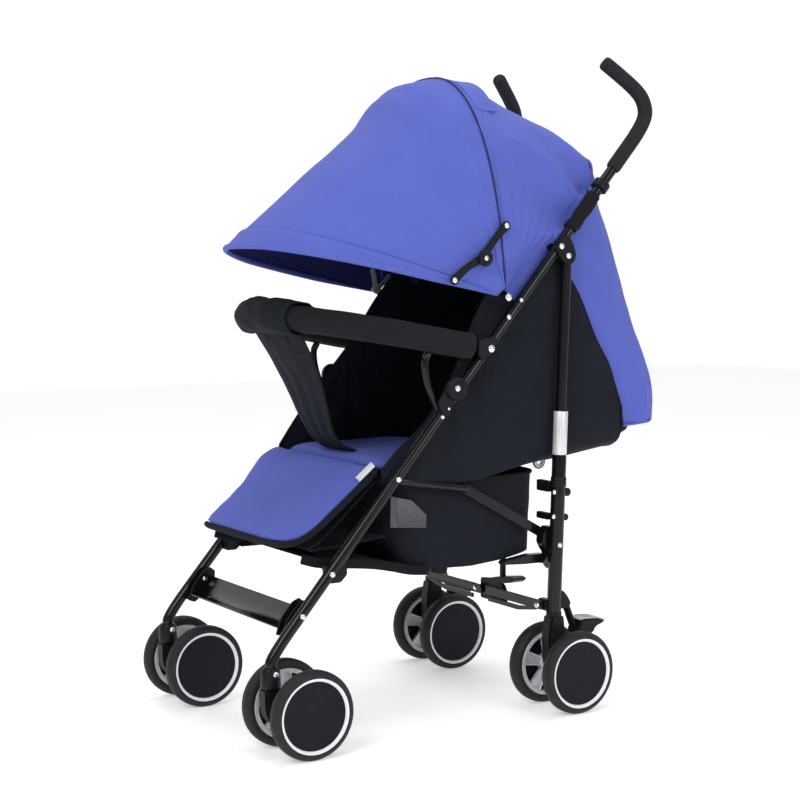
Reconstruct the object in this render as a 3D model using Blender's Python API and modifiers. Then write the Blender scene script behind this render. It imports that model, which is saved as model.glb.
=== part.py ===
"""Umbrella-fold baby stroller: a tube frame on eight small twin wheels, with a canopy,
a reclining fabric seat, a leg rest, a bumper bar, a basket and two hooked handles.

Metres, +Z up. The floor is z = 0, the mid-plane is x = 0 and the child faces -Y, so the
stroller's own left side is +X. Places along Y are measured from the rear axle and moved by
SHIFT_Y, which centres the whole object over the origin.
"""
import math

import bmesh
import bpy
from mathutils import Matrix, Vector

# ---- driving dimensions -------------------------------------------------------------------
SHIFT_Y = 0.170
GAP = 0.0003

LEG_X = 0.186
TUBE_R = 0.009
LEG_SLOPE = 1.155
FOOT_Y = -0.500
FOOT_Z = 0.211

WHEEL_R = 0.069
WHEEL_SEGMENTS = 24
AXLE_Z = WHEEL_R * math.cos(math.pi / WHEEL_SEGMENTS)
WHEEL_OFFSET = 0.046
TYRE_HALF = 0.0125
RIM_R = 0.0545
AXLE_R = 0.005
FRONT_AXLE_Y = -0.506
SWIVEL_Y = -0.552
SOCKET_TOP = 0.138
SOCKET_LOW = 0.108

KNUCKLE = (0.005, 0.758)
REAR_FOOT = (-0.016, 0.1585)
SLEEVE_TOP = 0.503
SLEEVE_R = 0.012

SEAT_PIVOT = (-0.328, 0.407)
LINK_TOP = (-0.181, 0.382)
LINK_LOW = (-0.023, 0.295)
BRACE_X = 0.171
BRACE_Z = 0.175
BRACE_FRONT_Z = 0.267

BAR_R = 0.021
BAR_HINGE = (-0.175, 0.613)
BAR_PATH = ((0.186, -0.187, 0.615), (0.184, -0.220, 0.620), (0.170, -0.310, 0.637),
            (0.150, -0.362, 0.646), (0.122, -0.408, 0.654), (0.065, -0.450, 0.661),
            (0.009, -0.462, 0.664))
BAR_TAPER = (0.943, 0.95, 0.97, 1.0, 1.0, 1.0, 1.0)
BAND_R = 0.0265
BAND_HALF = 0.082

CANOPY_PIVOT = (-0.122, 0.692)
CANOPY_HALF = 0.190
LAST_HOOP = (136, 0.350, 0.172, 3.4)
FABRIC = 0.003

STAY_TOP = (-0.124, 0.807)
STAY_KNOB = (-0.170, 0.755)
STAY_END = (-0.227, 0.720)
BRAKE_HINGE = (0.021, 0.116)

SEAT_Z = 0.424
RECLINE = (-0.098, 0.432)
LEG_HINGE = (-0.349, 0.424)

SIDES = (("L", 1), ("R", -1))


# ---- scene and materials ------------------------------------------------------------------
def clear_scene():
    for old in list(bpy.data.objects):
        bpy.data.objects.remove(old, do_unlink=True)


def collection(name):
    group = bpy.data.collections.new(name)
    bpy.context.scene.collection.children.link(group)
    return group


def material(name, colour, roughness, metallic=0.0):
    made = bpy.data.materials.new(name)
    made.use_nodes = True
    shader = made.node_tree.nodes["Principled BSDF"]
    shader.inputs["Base Color"].default_value = (*colour, 1.0)
    shader.inputs["Roughness"].default_value = roughness
    shader.inputs["Metallic"].default_value = metallic
    made.diffuse_color = (*colour, 1.0)
    return made


clear_scene()
STROLLER = collection("baby_stroller")
CUTTERS = collection("cutters")

PAINT = material("black_tube", (0.012, 0.013, 0.015), 0.25)
PLASTIC = material("black_plastic", (0.018, 0.019, 0.021), 0.45)
FOAM = material("grip_foam", (0.022, 0.023, 0.026), 0.9)
RUBBER = material("tyre_rubber", (0.015, 0.015, 0.016), 0.8)
RIM = material("wheel_rim", (0.45, 0.46, 0.48), 0.4)
BLUE = material("blue_fabric", (0.10, 0.14, 0.55), 0.85)
BLACK = material("black_fabric", (0.012, 0.014, 0.020), 0.9)
GLOSS = material("footrest_gloss", (0.010, 0.010, 0.011), 0.12)


# ---- places -------------------------------------------------------------------------------
def at(x, y, z):
    """A point given from the mid-plane, the rear axle and the floor."""
    return Vector((x, y + SHIFT_Y, z))


def leg_z(y):
    """Height of the front leg and push tube's straight centre line at y."""
    return FOOT_Z + LEG_SLOPE * (y - FOOT_Y)


# ---- building blocks ----------------------------------------------------------------------
def keep(obj, name, look, group=None):
    """Give an object its node name and material, in its collection only."""
    obj.name = name
    obj.data.name = name
    obj.data.materials.clear()
    obj.data.materials.append(look)
    for owner in list(obj.users_collection):
        owner.objects.unlink(obj)
    (group or STROLLER).objects.link(obj)
    return obj


def mesh_object(bm, name, look, group=None):
    bmesh.ops.recalc_face_normals(bm, faces=bm.faces)
    data = bpy.data.meshes.new(name)
    bm.to_mesh(data)
    bm.free()
    return keep(bpy.data.objects.new(name, data), name, look, group)


def tube(name, points, radius, look, radii=None, sides=4, group=None):
    """A round bar along the points; radii scale it point by point."""
    curve = bpy.data.curves.new(name, "CURVE")
    curve.dimensions = "3D"
    curve.bevel_depth = radius
    curve.bevel_resolution = sides
    curve.render_resolution_u = 0
    curve.use_fill_caps = True
    line = curve.splines.new("POLY")
    line.points.add(len(points) - 1)
    for i, point in enumerate(points):
        line.points[i].co = (*point, 1.0)
        line.points[i].radius = radii[i] if radii else 1.0
    return keep(bpy.data.objects.new(name, curve), name, look, group)


def prism(name, outline, x_low, x_high, look, group=None):
    """A flat plate across X, from an outline of (y, z) places."""
    bm = bmesh.new()
    ring = [bm.verts.new(at(x_low, y, z)) for y, z in outline]
    face = bm.faces.new(ring)
    made = bmesh.ops.extrude_face_region(bm, geom=[face])
    top = [item for item in made["geom"] if isinstance(item, bmesh.types.BMVert)]
    bmesh.ops.translate(bm, verts=top, vec=(x_high - x_low, 0, 0))
    return mesh_object(bm, name, look, group)


def box(name, low, high, look, group=None):
    """A block between two corners."""
    bm = bmesh.new()
    bmesh.ops.create_cube(bm, size=1.0)
    size = Vector(high) - Vector(low)
    bmesh.ops.scale(bm, verts=bm.verts, vec=size)
    bmesh.ops.translate(bm, verts=bm.verts, vec=(Vector(high) + Vector(low)) / 2)
    return mesh_object(bm, name, look, group)


def turned(name, profile, centre, steps, look, group=None):
    """A closed profile of (distance along X, radius) places turned about the X axis."""
    bm = bmesh.new()
    start = math.pi / steps
    ring = []
    for along, radius in profile:
        place = (along, radius * math.sin(start), radius * math.cos(start))
        ring.append(bm.verts.new(place))
    edges = [bm.edges.new((ring[i], ring[i - 1])) for i in range(len(ring))]
    bmesh.ops.spin(bm, geom=ring + edges, axis=(1, 0, 0), cent=(0, 0, 0),
                   angle=2 * math.pi, steps=steps, use_merge=True)
    bmesh.ops.remove_doubles(bm, verts=bm.verts, dist=0.00001)
    bmesh.ops.translate(bm, verts=bm.verts, vec=centre)
    return mesh_object(bm, name, look, group)


def rod(name, centre, radius, x_low, x_high, look, steps=12, group=None):
    """A solid cylinder along X."""
    bm = bmesh.new()
    bmesh.ops.create_cone(bm, cap_ends=True, segments=steps, radius1=radius, radius2=radius,
                          depth=x_high - x_low)
    bmesh.ops.rotate(bm, verts=bm.verts, matrix=Matrix.Rotation(math.pi / 2, 3, "Y"))
    middle = Vector(((x_low + x_high) / 2, centre.y, centre.z))
    bmesh.ops.translate(bm, verts=bm.verts, vec=middle)
    return mesh_object(bm, name, look, group)


def sheet(name, rows, thickness, look):
    """Fabric: a grid of points made solid, half its thickness to each side."""
    bm = bmesh.new()
    grid = [[bm.verts.new(point) for point in row] for row in rows]
    for upper, lower in zip(grid, grid[1:]):
        for i in range(len(upper) - 1):
            bm.faces.new((upper[i], upper[i + 1], lower[i + 1], lower[i]))
    obj = mesh_object(bm, name, look)
    solid = obj.modifiers.new("thickness", "SOLIDIFY")
    solid.thickness = thickness
    solid.offset = 0.0
    return obj


def union(base, other):
    """Join two closed solids into one with a Boolean, keeping the second as a guide."""
    for owner in list(other.users_collection):
        owner.objects.unlink(other)
    CUTTERS.objects.link(other)
    other.hide_render = True
    other.display_type = "WIRE"
    join = base.modifiers.new("join", "BOOLEAN")
    join.operation = "UNION"
    join.object = other
    return base


def slab(name, start, end, half_width, thickness, look):
    """A padded panel from start to end, given as (y, z), with softened edges."""
    run = Vector((0, end[0] - start[0], end[1] - start[1]))
    length = run.length
    obj = box(name, (-half_width, 0, -thickness / 2), (half_width, length, thickness / 2), look)
    turn = Matrix.Rotation(math.atan2(run.z, run.y), 4, "X")
    obj.matrix_world = Matrix.Translation(at(0, *start)) @ turn
    soft = obj.modifiers.new("edges", "BEVEL")
    soft.width = thickness * 0.4
    soft.segments = 2
    return obj


def bar_outline(a, b, half):
    """A flat link's outline from a to b, each (u, v), with rounded ends."""
    run = Vector((b[0] - a[0], b[1] - a[1]))
    turn = math.atan2(run.y, run.x)
    outline = []
    for centre, start in ((b, turn - math.pi / 2), (a, turn + math.pi / 2)):
        for step in range(5):
            angle = start + math.pi * step / 4
            outline.append((centre[0] + half * math.cos(angle), centre[1] + half * math.sin(angle)))
    return outline


# ---- side frames --------------------------------------------------------------------------
def leg_bend():
    """Places from the vertical foot of the leg round its bend onto the straight line."""
    foot = Vector((SWIVEL_Y, SOCKET_TOP + GAP))
    low = foot + Vector((0, 0.004))
    corner = Vector((SWIVEL_Y, leg_z(SWIVEL_Y)))
    high = Vector((-0.515, leg_z(-0.515)))
    places = [foot]
    for step in range(6):
        t = step / 5
        places.append(low * (1 - t) ** 2 + corner * 2 * t * (1 - t) + high * t ** 2)
    return places


def front_tube(side, sx):
    """Front leg and push tube, one bent tube from the swivel up to the grip."""
    points = [at(sx * LEG_X, y, z) for y, z in leg_bend()]
    points.append(at(sx * LEG_X, 0.0985, leg_z(0.0985)))
    return tube("front_tube_" + side, points, TUBE_R, PAINT)


def grip(side, sx):
    """Foam grip on the hooked handle, which turns forwards and a little inwards."""
    path = ((0.186, 0.099, leg_z(0.099)), (0.186, 0.147, leg_z(0.147)), (0.186, 0.165, 0.984),
            (0.185, 0.171, 1.003), (0.182, 0.166, 1.024), (0.176, 0.154, 1.041),
            (0.165, 0.131, 1.063), (0.152, 0.105, 1.086))
    points = [at(sx * x, y + (GAP if i == 0 else 0), z) for i, (x, y, z) in enumerate(path)]
    scale = [0.92] + [1.0] * 6 + [0.94]
    return tube("grip_" + side, points, 0.0125, FOAM, radii=scale)


def knuckle(side, sx):
    """Plate outside the tube that carries the rear leg's pivot."""
    ends = ((-0.011, 0.774), KNUCKLE)
    outline = bar_outline(ends[0], ends[1], 0.014)
    inner = LEG_X + TUBE_R + 0.0006
    low, high = sorted((sx * inner, sx * (inner + 0.004)))
    return prism("knuckle_" + side, outline, low, high, PLASTIC)


def swivel_socket(side, sx):
    """Housing fixed on the foot of the front leg, above the swivelling fork."""
    bm = bmesh.new()
    bmesh.ops.create_cone(bm, cap_ends=True, segments=16, radius1=0.0155, radius2=0.014,
                          depth=SOCKET_TOP - SOCKET_LOW)
    middle = at(sx * LEG_X, SWIVEL_Y, (SOCKET_TOP + SOCKET_LOW) / 2)
    bmesh.ops.translate(bm, verts=bm.verts, vec=middle)
    return mesh_object(bm, "swivel_socket_" + side, PLASTIC)


def bumper_mount(side, sx):
    """Socket on the front of the tube that holds the bumper bar."""
    outline = ((-0.1806, 0.602), (-0.1766, 0.5995), (-0.1676, 0.610), (-0.1666, 0.6155),
               (-0.1726, 0.623), (-0.1806, 0.624))
    low, high = sorted((sx * (LEG_X - 0.008), sx * (LEG_X + 0.008)))
    return prism("bumper_mount_" + side, outline, low, high, PLASTIC)


def footrest_bracket(side, sx):
    """Plastic corner that screws the footrest plate to the inside of the leg."""
    outline = ((-0.528, 0.174), (-0.500, 0.186), (-0.470, 0.222), (-0.478, 0.240), (-0.492, 0.232))
    low, high = sorted((sx * 0.156, sx * (LEG_X - TUBE_R - 0.0006)))
    return prism("footrest_bracket_" + side, outline, low, high, PLASTIC)


# ---- rear legs and folding links ----------------------------------------------------------
def rear_line_y(z):
    """The rear leg's centre line: nearly upright, a little forward at the foot."""
    share = (KNUCKLE[1] - z) / (KNUCKLE[1] - REAR_FOOT[1])
    return KNUCKLE[0] + (REAR_FOOT[0] - KNUCKLE[0]) * share


def rear_leg(side, sx):
    """Slim tube above, thicker sleeve below."""
    heights = (KNUCKLE[1] - 0.006, SLEEVE_TOP + 0.002, SLEEVE_TOP, REAR_FOOT[1] + GAP)
    points = [at(sx * LEG_X, rear_line_y(z), z) for z in heights]
    thick = SLEEVE_R / TUBE_R
    return tube("rear_leg_" + side, points, TUBE_R, PAINT, radii=(1.0, 1.0, thick, thick))


def rear_fork(side, sx):
    """Housing between the rear wheels, with the axle through it."""
    outline = ((-0.031, 0.158), (-0.001, 0.158), (0.010, 0.120), (0.016, 0.080), (0.012, 0.052),
               (-0.010, 0.050), (-0.018, 0.070), (-0.029, 0.120))
    low, high = sorted((sx * (LEG_X - 0.014), sx * (LEG_X + 0.014)))
    body = prism("rear_fork_" + side, outline, low, high, PLASTIC)
    return union(body, axle(side, sx, "rear", 0.0))


def axle(side, sx, end, y):
    low, high = sorted((sx * (LEG_X - 0.057), sx * (LEG_X + 0.057)))
    return rod("axle_" + end + "_" + side, at(0, y, AXLE_Z), AXLE_R, low, high, PLASTIC)


def front_fork(side, sx):
    """Trailing swivel fork: it hangs under the socket and reaches back to the axle."""
    top = SOCKET_LOW - 0.0006
    outline = ((-0.567, top), (-0.537, top), (-0.520, 0.094), (-0.494, 0.086), (-0.489, 0.069),
               (-0.494, 0.055), (-0.545, 0.050), (-0.562, 0.060))
    low, high = sorted((sx * (LEG_X - 0.013), sx * (LEG_X + 0.013)))
    body = prism("front_fork_" + side, outline, low, high, PLASTIC)
    return union(body, axle(side, sx, "front", FRONT_AXLE_Y))


def seat_tube(side, sx):
    """Side tube under the seat, hinged on the front leg."""
    x = sx * (LEG_X - TUBE_R - 0.009)
    points = [at(x, *SEAT_PIVOT), at(x, *LINK_TOP)]
    return tube("seat_tube_" + side, points, 0.007, PAINT)


def side_link(side, sx):
    """Flat link from the seat tube's end down to the rear leg."""
    outline = bar_outline(LINK_TOP, LINK_LOW, 0.008)
    low, high = sorted((sx * 0.1565, sx * 0.1605))
    return prism("side_link_" + side, outline, low, high, PAINT)


def cross_link(name, sx, y_low, y_high, z):
    """One half of a folding cross brace, hinged near a leg and reaching the mid-plane."""
    bm = bmesh.new()
    places = bar_outline((0.0, z), (sx * BRACE_X, z), 0.009)
    ring = [bm.verts.new(at(x, y_low, height)) for x, height in places]
    face = bm.faces.new(ring)
    made = bmesh.ops.extrude_face_region(bm, geom=[face])
    far = [item for item in made["geom"] if isinstance(item, bmesh.types.BMVert)]
    bmesh.ops.translate(bm, verts=far, vec=(0, y_high - y_low, 0))
    return mesh_object(bm, name, PAINT)


def rear_brace(side, sx):
    y_low = -0.0345 if sx > 0 else -0.0395
    return cross_link("rear_brace_" + side, sx, y_low, y_low + 0.004, BRACE_Z)


def front_brace(side, sx):
    y_low = -0.429 if sx > 0 else -0.424
    return cross_link("front_brace_" + side, sx, y_low, y_low + 0.004, BRACE_FRONT_Z)


def brake_pedal(side, sx):
    """Foot lever behind each rear pair: press it down to lock the wheels."""
    outline = ((0.017, 0.118), (0.024, 0.108), (0.050, 0.125), (0.064, 0.128), (0.084, 0.143),
               (0.084, 0.148), (0.030, 0.148), (0.036, 0.138))
    low, high = sorted((sx * (LEG_X - 0.017), sx * (LEG_X + 0.017)))
    return prism("brake_pedal_" + side, outline, low, high, PLASTIC)


# ---- wheels -------------------------------------------------------------------------------
def wheel(side, sx, end, place, y):
    """A tyre on a dished rim. place is out or in, the rim's dish faces away from the fork."""
    out = sx if place == "out" else -sx
    centre = at(sx * LEG_X + out * WHEEL_OFFSET, y, AXLE_Z)
    tag = end + "_" + place + "_" + side
    tyre_profile = [(-TYRE_HALF, RIM_R + 0.001), (-TYRE_HALF, 0.0640), (-0.0090, WHEEL_R),
                    (0.0090, WHEEL_R), (TYRE_HALF, 0.0640), (TYRE_HALF, RIM_R + 0.001)]
    turned("tyre_" + tag, tyre_profile, centre, WHEEL_SEGMENTS, RUBBER)
    rim_profile = [(-0.0140, 0.0056), (-0.0140, 0.0130), (0.0020, 0.0160), (0.0020, 0.0460),
                   (-0.0100, 0.0490), (-0.0100, RIM_R), (0.0110, RIM_R), (0.0110, 0.0056)]
    profile = [(out * along, radius) for along, radius in rim_profile]
    turned("rim_" + tag, profile, centre, 16, RIM)


# ---- bumper bar ---------------------------------------------------------------------------
def bumper_arm(side, sx):
    """Half of the padded bumper bar, from its socket round to the middle."""
    points = [at(sx * x, y, z) for x, y, z in BAR_PATH]
    return tube("bumper_arm_" + side, points, BAR_R, BLACK, BAR_TAPER, sides=3)


def bar_centre(x):
    """The bumper bar's centre line, as (y, z), at a distance x from the middle."""
    line = [Vector(place) for place in reversed(BAR_PATH)]
    for near, far in zip(line, line[1:]):
        if x <= far.x:
            share = max(0.0, (x - near.x) / (far.x - near.x))
            place = near.lerp(far, share)
            return place.y, place.z


def crotch_strap():
    """One wide band of fabric: up from the seat, then once round the bumper bar."""
    strap = ((-0.334, 0.447, 0.030), (-0.368, 0.498, 0.046), (-0.389, 0.549, 0.060),
             (-0.408, 0.589, 0.070), (-0.424, 0.618, 0.074))
    count = 4
    rows = [[at(half * k / count, y, z) for k in range(-count, count + 1)] for y, z, half in strap]
    for step in range(12):
        angle = math.radians(-50 + 28 * step)
        row = []
        for k in range(-count, count + 1):
            share = abs(k) / count
            y, z = bar_centre(BAND_HALF * share)
            stretch = 1 + 0.3 * share ** 1.5
            row.append(at(BAND_HALF * k / count, y + BAND_R * stretch * math.cos(angle),
                          z + BAND_R * math.sin(angle)))
        rows.append(row)
    return sheet("crotch_strap", rows, FABRIC, BLACK)


# ---- canopy -------------------------------------------------------------------------------
def bow(angle, reach, half, power, lowest=0.07):
    """Half hoops that stand on the canopy pivots: angle from straight ahead, in degrees."""
    direction = math.radians(angle)
    places = []
    count = 6
    for step in range(-count, count + 1):
        share = 1 - (abs(step) / count) ** 1.5 * (1 - lowest)
        x = half * (1 - share ** power) ** (1 / power)
        out = reach * share
        y = CANOPY_PIVOT[0] - out * math.cos(direction)
        z = CANOPY_PIVOT[1] + out * math.sin(direction)
        places.append(at(math.copysign(x, step), y, z))
    return places


def hood_back(lowest, drop):
    """The hood's last hoop, lowered square to the push tubes until it is drop below them."""
    down = Vector((0, LEG_SLOPE, -1)).normalized()
    edge = []
    for point in bow(*LAST_HOOP, lowest):
        above = (point.z - leg_z(point.y - SHIFT_Y)) / math.hypot(1, LEG_SLOPE)
        edge.append(point + down * (max(above, 0) + drop))
    return edge


def canopy_front():
    """Front panel of the hood, from the hem to the second bow."""
    hoops = ((10.5, 0.404), (21, 0.355), (32, 0.326), (46, 0.311), (56, 0.310), (65, 0.321),
             (74, 0.350), (86.4, 0.364))
    rows = [bow(angle, reach, CANOPY_HALF, 2.4) for angle, reach in hoops]
    return sheet("canopy_front", rows, FABRIC, BLUE)


def canopy_rear():
    """Rear panel of the hood, from the second bow back and down to the push tubes."""
    hoops = ((87.4, 0.364, CANOPY_HALF, 2.4), (98, 0.344, 0.189, 2.6), (108, 0.331, 0.186, 2.8),
             (118, 0.333, 0.181, 3.0), (128, 0.344, 0.175, 3.2), LAST_HOOP)
    rows = [bow(*hoop) for hoop in hoops]
    rows.append(hood_back(0.07, 0.003))
    return sheet("canopy_rear", rows, FABRIC, BLUE)


def rear_curtain():
    """Drape from the back of the hood down round the head end of the reclined seat."""
    levels = ((0.024, 0.803, 0.142, 0.862, 0.8), (0.006, 0.768, 0.164, 0.812, 0.7),
              (0.010, 0.737, 0.174, 0.765, 0.6), (0.048, 0.685, 0.184, 0.700, 0.5),
              (0.082, 0.617, 0.206, 0.632, 0.45), (0.109, 0.575, 0.219, 0.588, 0.42),
              (0.124, 0.538, 0.230, 0.548, 0.4), (0.138, 0.500, 0.2335, 0.510, 0.4),
              (0.144, 0.472, 0.232, 0.476, 0.4))
    half = 0.1665
    count = 6
    rows = [hood_back(0.68, 0.010)]
    for edge_y, edge_z, back_y, back_z, square in levels:
        row = []
        for step in range(-count, count + 1):
            turn = math.pi / 2 * (1 - abs(step) / count)
            x = half * max(0.0, math.cos(turn)) ** square
            share = math.sin(turn) ** square
            y = edge_y + (back_y - edge_y) * share
            z = edge_z + (back_z - edge_z) * share
            row.append(at(math.copysign(x, step), y, z))
        rows.append(row)
    return sheet("rear_curtain", rows, FABRIC, BLUE)


def canopy_stay_upper(side, sx):
    """Upper half of the hood's folding stay, hinged near the second bow."""
    outline = bar_outline(STAY_TOP, STAY_KNOB, 0.007)
    low, high = sorted((sx * 0.1935, sx * 0.1965))
    return prism("canopy_stay_upper_" + side, outline, low, high, PLASTIC)


def canopy_stay_lower(side, sx):
    """Lower half of the stay, from the knob to the front panel."""
    outline = bar_outline(STAY_KNOB, STAY_END, 0.007)
    low, high = sorted((sx * 0.1972, sx * 0.2002))
    return prism("canopy_stay_lower_" + side, outline, low, high, PLASTIC)


# ---- seat ---------------------------------------------------------------------------------
def seat_sling():
    """Fabric hammock: the seat's floor and the two side wings, which lean in at the front."""
    stations = ((-0.340, 0.414, 0.450, 0.168), (-0.250, 0.414, 0.557, 0.161),
                (-0.205, 0.414, 0.609, 0.160), (-0.158, 0.414, 0.666, 0.160),
                (-0.125, 0.414, 0.684, 0.166), (-0.095, 0.414, 0.667, 0.172),
                (-0.060, 0.414, 0.706, 0.172),
                (0.000, 0.414, 0.757, 0.172), (0.022, 0.416, 0.719, 0.172),
                (0.045, 0.419, 0.685, 0.172), (0.078, 0.424, 0.617, 0.172),
                (0.105, 0.428, 0.576, 0.172), (0.120, 0.430, 0.539, 0.172),
                (0.134, 0.432, 0.501, 0.172))
    rows = []
    for y, floor, top, lean in stations:
        half = [(0.060, floor), (0.120, floor), (0.158, floor + 0.002), (0.170, floor + 0.014),
                (0.172, (floor + top) / 2), (lean, top)]
        right = [at(-x, y, z) for x, z in reversed(half)]
        rows.append(right + [at(0, y, floor)] + [at(x, y, z) for x, z in half])
    return sheet("seat_sling", rows, FABRIC, BLACK)


def seat_pads():
    """Seat liner, reclining backrest and hanging leg rest."""
    slab("seat_pad", (-0.340, SEAT_Z + 0.006), (-0.104, SEAT_Z + 0.006), 0.150, 0.020, BLUE)
    slab("backrest", (-0.092, 0.442), (0.214, 0.4615), 0.148, 0.022, BLACK)
    slab("leg_rest", (-0.354, 0.418), (-0.490, 0.304), 0.163, 0.018, BLUE)


def basket():
    """Open-topped fabric box under the seat, narrower at its bottom."""
    bm = bmesh.new()
    bmesh.ops.create_cube(bm, size=1.0)
    low = at(-0.150, -0.320, 0.254)
    high = at(0.150, -0.020, 0.398)
    bmesh.ops.scale(bm, verts=bm.verts, vec=high - low)
    bmesh.ops.translate(bm, verts=bm.verts, vec=(high + low) / 2)
    for vert in bm.verts:
        if vert.co.z < 0.3:
            vert.co.x *= 0.95
    lid = [face for face in bm.faces if face.calc_center_median().z > high.z - FABRIC]
    bmesh.ops.delete(bm, geom=lid, context="FACES_ONLY")
    obj = mesh_object(bm, "basket", BLACK)
    solid = obj.modifiers.new("thickness", "SOLIDIFY")
    solid.thickness = FABRIC
    solid.offset = -1.0
    return obj


def footrest_plate():
    """Thin dished plate between the front legs."""
    rows = []
    for step in range(6):
        share = step / 5
        y = -0.520 + 0.034 * share
        dip = 0.008 * (1 - (2 * share - 1) ** 2)
        z = 0.190 + 0.027 * share - dip
        rows.append([at(x, y, z) for x in (-0.1545, -0.08, 0.0, 0.08, 0.1545)])
    return sheet("footrest_plate", rows, FABRIC, GLOSS)


# ---- assembly -----------------------------------------------------------------------------
def pivot(name, place, carrier=None):
    """An empty on a joint's axis. It carries the pieces that turn there, and further pivots."""
    empty = bpy.data.objects.new(name, None)
    empty.empty_display_size = 0.02
    STROLLER.objects.link(empty)
    empty.location = place
    if carrier:
        hang(empty, carrier)
    return empty


def hang(obj, carrier):
    """Parent an object to a pivot without moving it."""
    obj.parent = carrier
    obj.matrix_parent_inverse = Matrix.Translation(-carrier.location)


def hang_nodes(carrier, *names):
    for name in names:
        hang(bpy.data.objects[name], carrier)


def rig_wheels(side, sx, end, y, carrier):
    for place in ("out", "in"):
        out = sx if place == "out" else -sx
        tag = end + "_" + place + "_" + side
        hub = pivot("spin_" + tag, at(sx * LEG_X + out * WHEEL_OFFSET, y, AXLE_Z), carrier)
        hang_nodes(hub, "tyre_" + tag, "rim_" + tag)


def rig_side(side, sx):
    """Pivots of one side frame, nested the way the pieces carry each other."""
    frame = pivot("slide_" + side, at(sx * LEG_X, 0, leg_z(0)))
    for node in ("front_tube_", "grip_", "knuckle_", "swivel_socket_", "bumper_mount_",
                 "footrest_bracket_"):
        hang_nodes(frame, node + side)
    leg = pivot("leg_pivot_" + side, at(sx * LEG_X, *KNUCKLE), frame)
    hang_nodes(leg, "rear_leg_" + side, "rear_fork_" + side)
    swivel = pivot("swivel_pivot_" + side, at(sx * LEG_X, SWIVEL_Y, SOCKET_LOW), frame)
    hang_nodes(swivel, "front_fork_" + side)
    rig_wheels(side, sx, "rear", 0.0, leg)
    rig_wheels(side, sx, "front", FRONT_AXLE_Y, swivel)
    brake = pivot("brake_pivot_" + side, at(sx * LEG_X, *BRAKE_HINGE), leg)
    hang_nodes(brake, "brake_pedal_" + side)
    rig_links(side, sx, frame, leg)


def rig_links(side, sx, frame, leg):
    """Pivots of the links, braces, bumper bar and hood stays of one side."""
    places = (("seat_tube_", at(sx * 0.168, *SEAT_PIVOT), frame),
              ("side_link_", at(sx * 0.1585, *LINK_LOW), leg),
              ("rear_brace_", at(sx * BRACE_X, rear_line_y(BRACE_Z), BRACE_Z), leg),
              ("front_brace_", at(sx * BRACE_X, -0.425, BRACE_FRONT_Z), frame),
              ("bumper_arm_", at(sx * LEG_X, *BAR_HINGE), frame))
    for node, place, carrier in places:
        hang_nodes(pivot(node + "pivot_" + side, place, carrier), node + side)
    upper = pivot("stay_top_pivot_" + side, at(sx * 0.195, *STAY_TOP), frame)
    lower = pivot("stay_knob_pivot_" + side, at(sx * 0.199, *STAY_KNOB), upper)
    hang_nodes(upper, "canopy_stay_upper_" + side)
    hang_nodes(lower, "canopy_stay_lower_" + side)


def rig_seat():
    """Pivots of the hood's front panel, the backrest and the leg rest."""
    hang_nodes(pivot("canopy_pivot", at(0, *CANOPY_PIVOT)), "canopy_front")
    hang_nodes(pivot("recline_pivot", at(0, *RECLINE)), "backrest")
    rest = pivot("leg_rest_pivot", at(0, *LEG_HINGE))
    hang_nodes(rest, "leg_rest")


def build_side(side, sx):
    front_tube(side, sx)
    grip(side, sx)
    knuckle(side, sx)
    swivel_socket(side, sx)
    bumper_mount(side, sx)
    footrest_bracket(side, sx)
    rear_leg(side, sx)
    rear_fork(side, sx)
    front_fork(side, sx)
    seat_tube(side, sx)
    side_link(side, sx)
    rear_brace(side, sx)
    front_brace(side, sx)
    brake_pedal(side, sx)
    bumper_arm(side, sx)
    canopy_stay_upper(side, sx)
    canopy_stay_lower(side, sx)
    for place in ("out", "in"):
        wheel(side, sx, "rear", place, 0.0)
        wheel(side, sx, "front", place, FRONT_AXLE_Y)


def build():
    for side, sx in SIDES:
        build_side(side, sx)
    canopy_front()
    canopy_rear()
    rear_curtain()
    seat_sling()
    seat_pads()
    basket()
    crotch_strap()
    footrest_plate()
    for side, sx in SIDES:
        rig_side(side, sx)
    rig_seat()


build()
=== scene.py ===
"""Looks of the umbrella-fold baby stroller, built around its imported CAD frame."""

import math

import bmesh
import bpy
import numpy as np
from mathutils import Matrix, Vector, noise


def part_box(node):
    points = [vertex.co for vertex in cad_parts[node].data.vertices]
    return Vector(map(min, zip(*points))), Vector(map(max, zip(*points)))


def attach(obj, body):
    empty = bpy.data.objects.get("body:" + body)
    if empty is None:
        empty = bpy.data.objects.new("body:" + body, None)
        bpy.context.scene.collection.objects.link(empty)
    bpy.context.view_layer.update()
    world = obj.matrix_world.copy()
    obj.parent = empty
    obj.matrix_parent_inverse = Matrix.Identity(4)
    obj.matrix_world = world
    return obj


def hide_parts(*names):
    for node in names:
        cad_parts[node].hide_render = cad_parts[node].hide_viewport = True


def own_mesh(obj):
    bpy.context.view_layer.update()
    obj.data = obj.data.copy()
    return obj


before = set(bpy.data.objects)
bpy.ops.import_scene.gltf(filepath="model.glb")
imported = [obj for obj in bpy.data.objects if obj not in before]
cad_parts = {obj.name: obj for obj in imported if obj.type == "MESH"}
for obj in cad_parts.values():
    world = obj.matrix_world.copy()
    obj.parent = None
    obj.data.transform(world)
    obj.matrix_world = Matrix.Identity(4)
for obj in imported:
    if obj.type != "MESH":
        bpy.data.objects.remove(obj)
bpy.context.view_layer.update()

# ---- places taken from the frame ----------------------------------------------------------
SIDES = (("L", 1), ("R", -1))


def box_centre(node):
    low, high = (Vector(corner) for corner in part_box(node))
    return (low + high) / 2


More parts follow.
